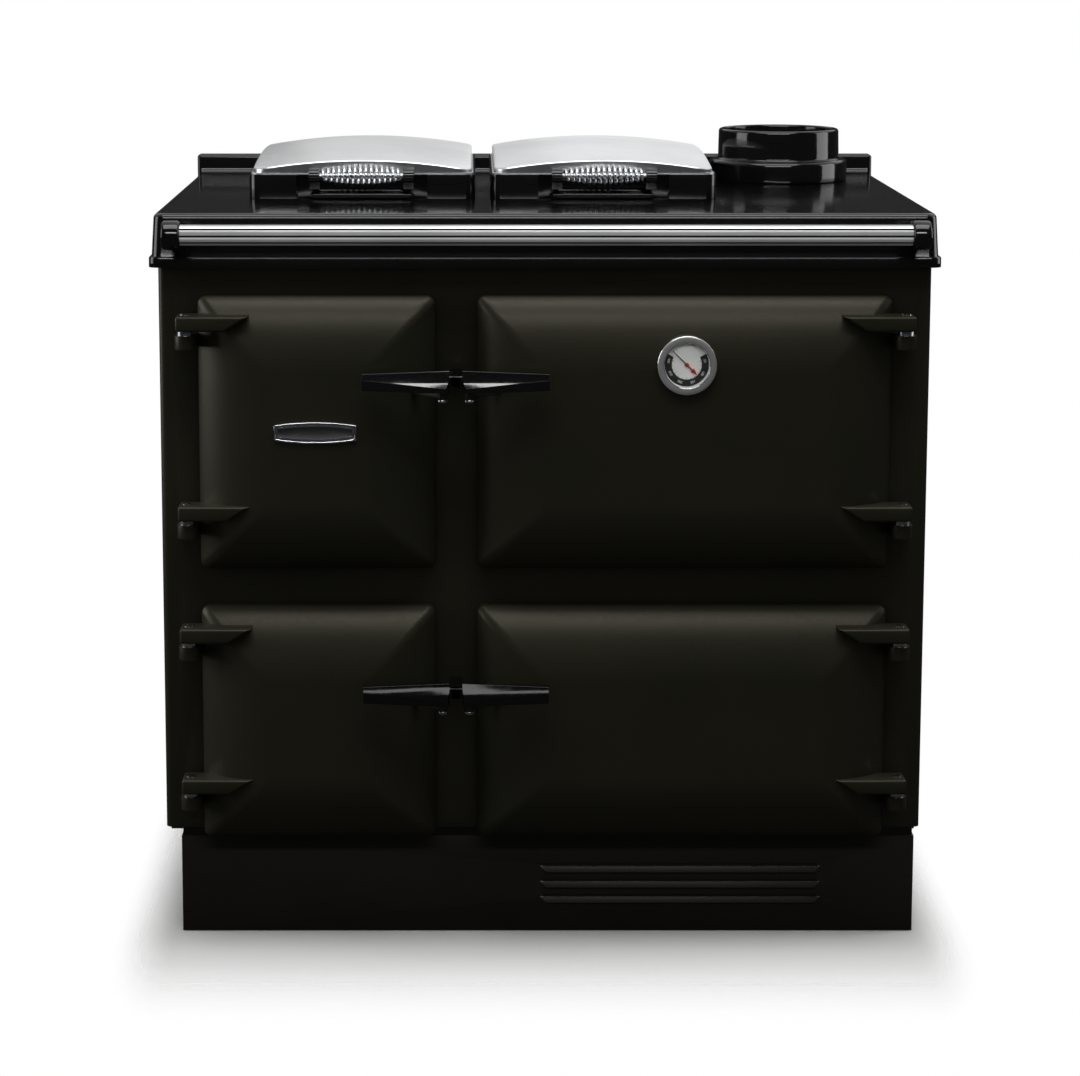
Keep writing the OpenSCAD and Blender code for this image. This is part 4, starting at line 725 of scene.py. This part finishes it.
softLook = {  # radius of the edges, their steps, and what reshapes the casting first
    "front_plate": (2.5, 3), "plinth_panel": (0.5, 2, leanLouvres), "left_side_panel": (1, 3),
    "right_side_panel": (1, 3), "lid_hinge_brackets": (1.2, 3),
}
for nodeName, settings in softLook.items():
    softened(nodeName, *settings)
print("castings softened")

topLook = {"half": 494.5, "front": -293.5, "back": 370.5, "low": 872.5, "top": 939.5, "corner": 14,
           "bead": ((0.3, 0), (0, 0.8), (0, 11), (0.5, 12.4), (2.8, 13), (3.4, 14.4)),  # inset and rise
           "slant": 6, "round": 6.5, "upstandIn": 3.4, "upstandRise": 27, "upstandDepth": 24,
           "upstandSink": 20, "upstandRound": 5, "cove": 7, "coveIn": 6, "overlap": 2}


# Top plate with its slanted skirt, the bead along the foot of the skirt and the upstand behind
def topPlate():
    look = topLook
    bm = bmesh.new()
    face = outline(bm, (-look["half"], look["front"]), (look["half"], look["back"]), look["low"],
                   look["corner"], "XY", 10)
    height = look["top"] - look["low"]
    rim = arc(look["slant"] + look["round"], height - look["round"], look["round"], 180, 90)
    raiseFace(bm, face, list(look["bead"]) + rim)
    half, foot = look["half"] - look["upstandIn"], look["back"] - look["upstandDepth"]
    roundedBox(bm, (-half, foot, look["top"] - look["upstandSink"]),
               (half, look["back"], look["top"] + look["upstandRise"]), look["upstandRound"], 5)
    cove(bm, half - look["coveIn"], foot, look["top"])
    standIn(bm, "top_plate", "top_plate_finished", "black_enamel", hobEnamel)


# Hollow fillet at the foot of the upstand
def cove(bm, half, y, z):
    radius, overlap = topLook["cove"], topLook["overlap"]
    ends = arc(y - radius, z + radius, radius, -90, 0)
    ends += [(y + overlap, z + radius), (y + overlap, z - overlap), (y - radius, z - overlap)]
    drawOut(bm, bm.faces.new([bm.verts.new(Vector((-half, a, b)) * mm) for a, b in ends]), 2 * half)


topPlate()

railLook = {"half": 464, "y": -338.5, "z": 918, "radius": 13, "flutes": 9, "between": 10, "groove": 2,
            "depth": 1.8, "flank": 0.4, "turn": 88, "smooth": 25}


# Rail drawn as a tube with narrow flutes
def handRail():
    look = railLook
    bm = bmesh.new()
    ring = bmesh.ops.create_circle(bm, cap_ends=True, segments=look["flutes"] * look["between"],
                                   radius=look["radius"] * mm)["verts"]
    for i, vert in enumerate(sorted(ring, key=lambda v: math.atan2(v.co.y, v.co.x))):
        if i % look["between"] < look["groove"]:
            vert.co *= 1 - look["depth"] / look["radius"]
    face = ring[0].link_faces[0]
    rotate(bm, ring, math.radians(look["turn"]), "Z")
    rotate(bm, ring, math.pi / 2, "Y")
    move(bm, ring, (-look["half"], look["y"], look["z"]))
    drawOut(bm, face, 2 * look["half"])
    # Faces in the bottom of the flutes take the second material, a painted shade in the grooves
    for strip in bm.faces:
        middle = strip.calc_center_median() / mm
        away = math.hypot(middle.y - look["y"], middle.z - look["z"])
        if len(strip.verts) == 4 and away < look["radius"] - look["flank"]:
            strip.material_index = 1
    standIn(bm, "hand_rail", "hand_rail_drawn", "chrome", aluminium, smoothAngle=look["smooth"],
            more=[grooveShadeAluminium])


handRail()

bracketLook = {"inner": 449, "outer": 472, "radius": 18, "back": -288, "foot": 14, "round": 4,
               "segments": 48, "shy": 1}


def railBrackets():
    look, y, z = bracketLook, railLook["y"], railLook["z"]
    width = look["outer"] - look["inner"]
    bm = bmesh.new()
    for start in (look["inner"], -look["outer"]):
        roundBar(bm, "X", (start, y, z), width, look["radius"], look["round"], look["segments"])
        roundedBox(bm, (start + look["shy"], y, z - look["foot"]),
                   (start + width - look["shy"], look["back"], z + look["foot"]), look["round"])
    standIn(bm, "rail_brackets", "rail_brackets_cast", "black_enamel")


railBrackets()

collarLook = {"centre": (344, 245.5, 0), "bore": 76.5, "floor": 961.5, "top": 1011.5, "wall": 84.5,
              "taper": 0.6, "ledge": 969, "low": 97, "foot": 939.5, "under": 919.5, "way": 70, "sleeve": 9,
              "lip": 3, "rim": 4, "hollow": 4, "shoulder": 6, "straight": 12, "heel": 6, "hair": 0.01,
              "chamfer": 4, "segments": 128}


# Flue collar: a socket ring on a wider foot, its edge rounded by a hair, and a sleeve through the top plate
def flueCollar():
    look = collarLook
    way, bore, wall, low, foot = [look[key] for key in ("way", "bore", "wall", "low", "foot")]
    lip, rim, hollow, shoulder, hair = [look[key] for key in ("lip", "rim", "hollow", "shoulder", "hair")]
    sleeve, outer = way + look["sleeve"], wall + look["taper"]
    profile = [(way, look["under"]), (way, look["floor"]), (bore, look["floor"]), (bore, look["top"] - lip)]
    profile += arc(bore + lip, look["top"] - lip, lip, 180, 90)
    profile += arc(wall - rim, look["top"] - rim, rim, 90, 0)
    profile += [(outer, look["ledge"] + look["straight"])]
    profile += arc(outer + hollow, look["ledge"] + hollow, hollow, 180, 270)
    profile += arc(low - shoulder, look["ledge"] - shoulder, shoulder, 90, 0)
    profile += [(low, foot + look["heel"])]
    profile += arc(low + hair, foot + 1, hair, 0, -90, 2)
    profile += [(low - look["chamfer"], foot - 1), (sleeve, foot - 1), (sleeve, look["under"]),
                (way, look["under"])]
    bm = bmesh.new()
    turned(bm, profile, look["centre"], "Z", look["segments"])
    standIn(bm, "flue_collar", "flue_collar_cast", "black_enamel")


flueCollar()
print("top made")

lidLook = {"xs": (-235.5, 81.5), "half": 148.5, "front": -84.5, "back": 285.5, "corner": 24, "base": 971.8,
           "crest": 1002.7, "crestY": 150, "acrossRadius": 800, "depthRadius": 2200, "edge": 3, "cuts": 20,
           "rings": 22, "inset": 4.5, "skirt": 0.2, "smooth": 50, "frameRound": 3}


# Pressed crown of a lid: a shallow dome over a short upright skirt
def lidDome(side, x):
    look = lidLook
    bm = bmesh.new()
    half, edge = look["half"] - look["inset"], look["edge"]
    face = outline(bm, (x - half, look["front"] + look["inset"]), (x + half, look["back"] - look["inset"]),
                   look["base"], look["corner"], "XY", 8, look["cuts"])
    insets = [point[0] for point in arc(edge, 0, edge, 180, 90)]
    insets += [edge + (half - 1 - edge) * i / look["rings"] for i in range(1, look["rings"] + 1)]
    count = len(face.verts)
    raiseFace(bm, face, [(0, look["skirt"])] + [(inset, 1) for inset in insets])
    bm.verts.ensure_lookup_table()
    for i, inset in enumerate(insets):
        drop = edge - math.sqrt(max(edge ** 2 - max(edge - inset, 0) ** 2, 0))
        for vert in bm.verts[(i + 2) * count:(i + 3) * count]:
            across, along = vert.co.x / mm - x, vert.co.y / mm - look["crestY"]
            fall = across ** 2 / (2 * look["acrossRadius"]) + along ** 2 / (2 * look["depthRadius"])
            vert.co.z = (look["crest"] - fall - drop) * mm
    standIn(bm, side + "_lid_dome", side + "_lid_crown", "chrome", stainless, smoothAngle=look["smooth"])


ledgeLook = {"half": 66, "front": -83, "back": -58, "low": 940.4, "high": 947, "round": 2}


# Ledge that closes the recess below the coil
def lidLedge(side, x):
    look = ledgeLook
    bm = bmesh.new()
    low = (x - look["half"], look["front"], look["low"])
    roundedBox(bm, low, (x + look["half"], look["back"], look["high"]), look["round"])
    faceOutwards(bm)
    makePiece(bm, side + "_lid_ledge", side + "_lid", "black_enamel")


coilLook = {"length": 105, "y": -100, "z": 971.8, "middle": 29.5, "end": 16, "fullness": 0.8, "wire": 3.8,
            "curls": 15, "steps": 28, "smooth": 80}


# Sprung coil of bright wire, fullest in its middle
def handleCoil(side, x):
    look = coilLook
    curve = bpy.data.curves.new(side + "Coil", "CURVE")
    curve.dimensions = "3D"
    curve.bevel_depth = look["wire"] / 2 * mm
    curve.bevel_resolution = 3
    curve.use_fill_caps = True
    spline = curve.splines.new("POLY")
    count = look["curls"] * look["steps"]
    spline.points.add(count)
    for i, point in enumerate(spline.points):
        part = i / count
        turn = 2 * math.pi * look["curls"] * part
        belly = math.sin(math.pi * part) ** look["fullness"]
        radius = (look["end"] + (look["middle"] - look["end"]) * belly - look["wire"]) / 2
        place = Vector((x + (part - 0.5) * look["length"], look["y"] + radius * math.cos(turn),
                        look["z"] + radius * math.sin(turn)))
        point.co = (*(place * mm), 1)
    bm = bmesh.new()
    bm.from_mesh(takeMesh(addObject(side + "Coil", curve)))
    makePiece(bm, side + "_coil_wound", side + "_lid", "chrome", stands=[side + "_handle_coil"],
              smoothAngle=look["smooth"])


for side, x in zip(("left", "right"), lidLook["xs"]):
    lidDome(side, x)
    lidLedge(side, x)
    handleCoil(side, x)
    softened(side + "_lid_frame", lidLook["frameRound"])
print("lids made")

gaugeLook = {
    "centre": (174.5, 756.7), "seat": -326.5, "front": -345.5, "outer": 37.4, "window": 28.2, "round": 3,
    "glassSeat": (2.8, 5), "groove": (4.8, 2.6), "lip": 1, "lipDrop": 1.6, "face": (4.5, 0.3),
    "roundDrop": 3.6,
    "faceFrom": 1.3, "faceTo": 0.9,  # how far the satin face stays from both rims
    "dial": -333.5, "bandOuter": 27.4, "bandInner": 18.5, "bandFrom": 150, "bandTo": 390, "printUp": 0.25,
    "ticks": 13, "tickFrom": 15, "tickStep": 17.5, "tickHalf": 0.9, "tickGap": 0.2, "longTick": 2.2,
    "shortTick": 1.2, "bandSteps": 96,
    "numbers": ("50", "100", "150", "200", "250", "300"), "digit": 4.2, "digitRadius": 21.4, "digitUp": 0.4,
    "margin": 18,  # degrees from the band's ends to the numbers
}


# A place on the gauge's axis at a depth
def onGauge(depth):
    return Vector((gaugeLook["centre"][0], depth, gaugeLook["centre"][1]))


def gaugeBezel():
    look = gaugeLook
    high = look["seat"] - look["front"]
    outer, window, lip, soft = [look[key] for key in ("outer", "window", "lip", "round")]
    seat, seatDrop = window + look["glassSeat"][0], look["glassSeat"][1]
    groove, grooveDrop = window + look["groove"][0], look["groove"][1]
    profile = [(seat, 0), (seat, high - seatDrop), (groove, high - seatDrop), (groove, high - grooveDrop)]
    profile += arc(window + lip, high - look["lipDrop"], lip, 270, 90, 8)
    profile += [(window + look["face"][0], high - look["face"][1])]
    profile += arc(outer - soft, high - look["roundDrop"], soft, 70, 0)
    profile += [(outer, 0), (seat, 0)]
    bm = bmesh.new()
    turned(bm, profile, onGauge(look["seat"]), "-Y")
    for face in bm.faces:
        away = face.calc_center_median() / mm - onGauge(0)
        satinFace = window + look["faceFrom"] < math.hypot(away.x, away.z) < outer - look["faceTo"]
        face.material_index = 0 if satinFace else 1
    standIn(bm, "gauge_bezel", "gauge_bezel_rim", "chrome", aluminium, more=[finishes["chrome"]])


# Flat stretch of a ring, between two radii and two directions
def sweepBand(bm, inner, outer, start, end, steps):
    turn = math.radians(start)
    ends = [bm.verts.new(Vector((radius * math.cos(turn), 0, radius * math.sin(turn))) * mm)
            for radius in (inner, outer)]
    bmesh.ops.spin(bm, geom=ends + [bm.edges.new(ends)], cent=(0, 0, 0), axis=(0, -1, 0), dvec=(0, 0, 0),
                   angle=math.radians(end - start), steps=steps)


# Band of the scale and its ticks, printed on the dial
def dialPrint():
    look = gaugeLook
    bm = bmesh.new()
    inner, outer = look["bandInner"], look["bandOuter"]
    sweepBand(bm, inner, outer, look["bandFrom"], look["bandTo"], look["bandSteps"])
    for i in range(look["ticks"]):
        middle = look["bandFrom"] + look["tickFrom"] + i * look["tickStep"]
        length = look["longTick"] if i % 3 == 0 else look["shortTick"]
        sweepBand(bm, inner - length, inner - look["tickGap"], middle - look["tickHalf"],
                  middle + look["tickHalf"], 2)
    move(bm, bm.verts, onGauge(look["dial"] - look["printUp"]))
    faceOutwards(bm)
    if sum(face.normal.y * face.calc_area() for face in bm.faces) > 0:
        bmesh.ops.reverse_faces(bm, faces=bm.faces)
    makePiece(bm, "dial_scale", bodyOf["gauge_dial"], "dial_white", ink)


# Plain numbers of degrees along the band, in white
def dialNumbers():
    look = gaugeLook
    bm = bmesh.new()
    last = len(look["numbers"]) - 1
    span = look["bandTo"] - look["bandFrom"] - 2 * look["margin"]
    for i, number in enumerate(look["numbers"]):
        letters = bpy.data.curves.new("number" + number, "FONT")
        letters.body = number
        letters.size = look["digit"] * mm
        letters.align_x = "CENTER"
        mesh = takeMesh(addObject("number" + number, letters))
        turn = math.radians(look["bandFrom"] + look["margin"] + span * (last - i) / last - 90)
        mesh.transform(Matrix.Translation(onGauge(look["dial"] - look["digitUp"]) * mm)
                       @ Matrix.Rotation(math.pi / 2, 4, "X") @ Matrix.Rotation(turn, 4, "Z")
                       @ Matrix.Translation((0, look["digitRadius"] * mm, 0)))
        bm.from_mesh(mesh)
    makePiece(bm, "dial_numbers", bodyOf["gauge_dial"], "dial_white")


needleLook = {"level": -336.3, "middle": -335.3, "sheet": 0.6, "rest": 135,
              "pointer": (0.5, 24.5, 1.4, 0.7),  # start, end, and the width at each
              "shaft": (0.5, -11, 2.2, 1.8), "head": (-9.5, -18, 6.4, 0.3),
              "hub": 2.6, "hubLength": 1.8, "hubRound": 0.4}


# Strip of sheet along the needle, from one distance to another, each end with its own width
def needleStrip(bm, start, end, first, last):
    look = needleLook
    made = bmesh.ops.create_cube(bm, size=1)["verts"]
    for vert in made:
        width = first if vert.co.x < 0 else last
        vert.co = Vector(((start + end) / 2 + vert.co.x * (end - start), vert.co.y * look["sheet"],
                          vert.co.z * width)) * mm
    rotate(bm, made, -math.radians(look["rest"]), "Y")
    move(bm, made, onGauge(look["middle"]))


# Thin black pointer with its hub, and a red arrow opposite
def needle():
    look = needleLook
    pointer, arrow = bmesh.new(), bmesh.new()
    needleStrip(pointer, *look["pointer"])
    needleStrip(arrow, *look["shaft"])
    needleStrip(arrow, *look["head"])
    roundBar(arrow, "Y", onGauge(look["level"]), look["hubLength"], look["hub"], look["hubRound"])
    standIn(pointer, "gauge_needle", "needle_pointer", "needle_paint", ink)
    faceOutwards(arrow)
    makePiece(arrow, "needle_arrow", bodyOf["gauge_needle"], "needle_paint")


gaugeBezel()
dialPrint()
dialNumbers()
needle()

plateLook = {"gap": 1.3, "rim": 0.9, "rise": 0.6, "round": 0.6, "facing": 0.9, "corners": 6, "sharp": 0.9}


# Bare badge: two bright rims round a dark enamelled field
def badge():
    look = plateLook
    bm = mergedCopy("name_plate")
    fronts = [face for face in bm.faces if face.normal.y < -look["facing"]
              and len(face.edges) > look["corners"]]
    field = max(fronts, key=lambda face: face.calc_center_median().y)
    rims = [edge for edge in sharpEdges(bm, look["sharp"]) if edge not in field.edges[:]]
    field.material_index = 1
    bmesh.ops.inset_region(bm, faces=[field], thickness=look["gap"] * mm)
    for depth in (look["rise"], -look["rise"]):
        made = bmesh.ops.inset_region(bm, faces=[field], thickness=look["rim"] * mm, depth=depth * mm)
        for face in made["faces"]:
            face.material_index = 0
    field.material_index = 1
    roundEdges(bm, rims, look["round"])
    makePiece(bm, "name_plate_rim", bodyOf["name_plate"], "chrome", stands=["name_plate"], more=[ink])


badge()
print("thermometer and plate made")

stageLook = {"floor": "#c1c1c0", "other": "#3a3a3a", "flat": (0.47, 0.25), "fade": (0.085, 0.34), "half": 4}


# Pale floor that keeps the shadow close to the object and fades into the white surround
def floor():
    look = stageLook
    bm = bmesh.new()
    bmesh.ops.create_grid(bm, x_segments=1, y_segments=1, size=look["half"])
    plane = addObject("floor", intoMesh(bm, "floor"))
    material, tree, shader, place = newMaterial("studioFloor", Roughness=0.9, Specular_IOR_Level=0,
                                                Base_Color=toLinear(look["floor"]))
    size = addNode(tree, "VectorMath", links={0: place}, operation="ABSOLUTE")
    over = addNode(tree, "VectorMath", {1: (*look["flat"], 0)}, {0: size.outputs[0]}, operation="SUBTRACT")
    out = addNode(tree, "VectorMath", {1: (0, 0, 0)}, {0: over.outputs[0]}, operation="MAXIMUM")
    share = addNode(tree, "VectorMath", {1: (*look["fade"], 1)}, {0: out.outputs[0]}, operation="DIVIDE")
    away = addNode(tree, "VectorMath", links={0: share.outputs[0]}, operation="LENGTH")
    fade = addNode(tree, "MapRange", links={"Value": away.outputs["Value"]}, interpolation_type="SMOOTHSTEP")
    clear = addNode(tree, "BsdfTransparent")
    soft = addNode(tree, "MixShader", links={0: fade.outputs["Result"], 1: shader.outputs["BSDF"],
                                             2: clear.outputs["BSDF"]})
    path = addNode(tree, "LightPath")
    dull = addNode(tree, "BsdfDiffuse", {"Color": toLinear(look["other"])})
    mix = addNode(tree, "MixShader", links={0: path.outputs["Is Camera Ray"], 1: dull.outputs["BSDF"],
                                            2: soft.outputs["Shader"]})
    tree.links.new(mix.outputs["Shader"], tree.nodes["Material Output"].inputs["Surface"])
    plane.data.materials.append(material)


floor()

worldLook = {"fill": 0.25, "dark": 0.03, "high": (0.2, 0.42), "behind": (-0.3, 0.1), "across": (-0.75, 0.25),
             "leftDim": 0.55}


# White to the camera; gloss and glass see the white surround above the low black cards of the studio
def world():
    look = worldLook
    place = bpy.data.worlds.new("studio")
    bpy.context.scene.world = place
    place.use_nodes = True
    tree = place.node_tree
    sky = tree.nodes["Background"]
    path = addNode(tree, "LightPath").outputs
    axes = addNode(tree, "SeparateXYZ", links={0: addNode(tree, "TexCoord").outputs["Generated"]}).outputs

    def ramp(key, axis, low=0, **settings):
        ends = {"From Min": look[key][0], "From Max": look[key][1], "To Min": low}
        return addNode(tree, "MapRange", ends, {"Value": axes[axis]}, **settings).outputs["Result"]

    def maths(operation, first, second):
        return addNode(tree, "Math", links={0: first, 1: second}, operation=operation).outputs[0]

    half = maths("MULTIPLY", ramp("high", "Z", interpolation_type="SMOOTHSTEP"), ramp("behind", "Y"))
    seen = maths("MULTIPLY", half, ramp("across", "X", look["leftDim"], interpolation_type="SMOOTHSTEP"))
    gloss = maths("MAXIMUM", path["Is Glossy Ray"], path["Is Transmission Ray"])
    surround = addNode(tree, "Mix", {"A": look["fill"], "B": look["dark"]}, {"Factor": gloss})
    white = maths("MAXIMUM", path["Is Camera Ray"], maths("MULTIPLY", gloss, seen))
    level = addNode(tree, "Mix", {"B": 1.0}, {"Factor": white, "A": surround.outputs["Result"]})
    tree.links.new(level.outputs["Result"], sky.inputs["Strength"])
    sky.inputs["Color"].default_value = (1, 1, 1, 1)


world()

crowns = ["left_lid_crown", "right_lid_crown"]
satin = [item.name for item in bpy.data.objects if item.name.endswith("_door_casting")] + crowns
satin += ["front_plate_finished", "hand_rail_drawn", "gauge_bezel_rim"]
lowHandles = [item.name for item in bpy.data.objects
              if item.name.startswith(("lower_left_handle", "lower_right_handle"))]

# Cards behind, seen in the lids' crowns alone: name, middle, width and power
lidCards = (("lidCard", 1.2, 2.4, 6.2), ("lidCardMiddle", -0.25, 0.5, 0.9), ("lidCardDim", -1.0, 1.0, 0.7))

# Studio lamps; "only" names all that a lamp lights, and "spare" what a flag keeps it from
lampLooks = [
    {"name": "overheadSoftbox", "place": (0, -0.9, 3.1), "aim": (0, -0.3, 0.6), "size": (2.6, 1.5),
     "power": 54},
    {"name": "leftSoftbox", "place": (-2.9, -0.35, 1.3), "aim": (0, -0.35, 0.6), "size": (1.4, 1.8),
     "power": 27},
    {"name": "frontStrip", "place": (0, -2.76, 2.0), "aim": (0, -0.3, 0.8), "size": (2.4, 0.28), "power": 34,
     "spare": satin + lowHandles},  # its line shows in gloss, not on satin faces
    {"name": "rightSoftbox", "place": (2.9, 0.1, 1.3), "aim": (0, 0.1, 0.6), "size": (1.4, 1.8), "power": 26,
     "spare": satin},
    {"name": "rearSoftbox", "place": (0.6, 3.2, 1.2), "aim": (0, 0.4, 0.5), "size": (1.8, 1.4), "power": 40,
     "only": ["back_panel", "cover_screws"]},
    *({"name": name, "place": (x, 2.1, 1.25), "aim": (x, 0, 1.0), "size": (width, 1.1), "power": power,
       "only": crowns} for name, x, width, power in lidCards),
    {"name": "lowStrip", "place": (0, -2.76, 2.0), "aim": (0, -0.3, 0.8), "size": (2.4, 0.28), "power": 7,
     "only": lowHandles},  # the strip's weaker line on the lower handles
    {"name": "railCard", "place": (0, -1.5, 0.5), "aim": (0, -0.34, 0.8), "size": (3.0, 0.9), "power": 6,
     "only": ["hand_rail_drawn"]},  # a low card that fills the rail's underside
]


def lamp(look):
    data = bpy.data.lights.new(look["name"], "AREA")
    data.shape = "RECTANGLE"
    data.size, data.size_y = look["size"]
    data.energy = look["power"]
    light = addObject(look["name"], data)
    light.visible_camera = False
    place, aim = Vector(look["place"]), Vector(look["aim"])
    light.location = place
    light.rotation_euler = (aim - place).to_track_quat("-Z", "Y").to_euler()
    if "only" in look or "spare" in look:
        lit = bpy.data.collections.new(look["name"] + "Lit")
        for item in bpy.data.objects:
            wanted = item.name in look["only"] if "only" in look else item.name not in look["spare"]
            if item.type == "MESH" and wanted:
                lit.objects.link(item)
        light.light_linking.receiver_collection = lit


for look in lampLooks:
    lamp(look)

# The photo's camera, with less vertical shift, so that open lids stay in the frame of other views
cameraLook = {"place": (-0.091, -3.9098, 1.2801), "down": 0.1492, "lens": 97.44, "sensor": 36,
              "shift": (0.0629, -0.15)}


def camera():
    look = cameraLook
    data = bpy.data.cameras.new("camera")
    data.lens = look["lens"]
    data.sensor_width = look["sensor"]
    data.shift_x, data.shift_y = look["shift"]
    view = addObject("camera", data)
    view.location = look["place"]
    view.rotation_euler = (math.pi / 2 - look["down"], 0, 0)
    bpy.context.scene.camera = view


camera()
bpy.context.scene.view_settings.view_transform = "Standard"
print("stage, lamps and camera placed")
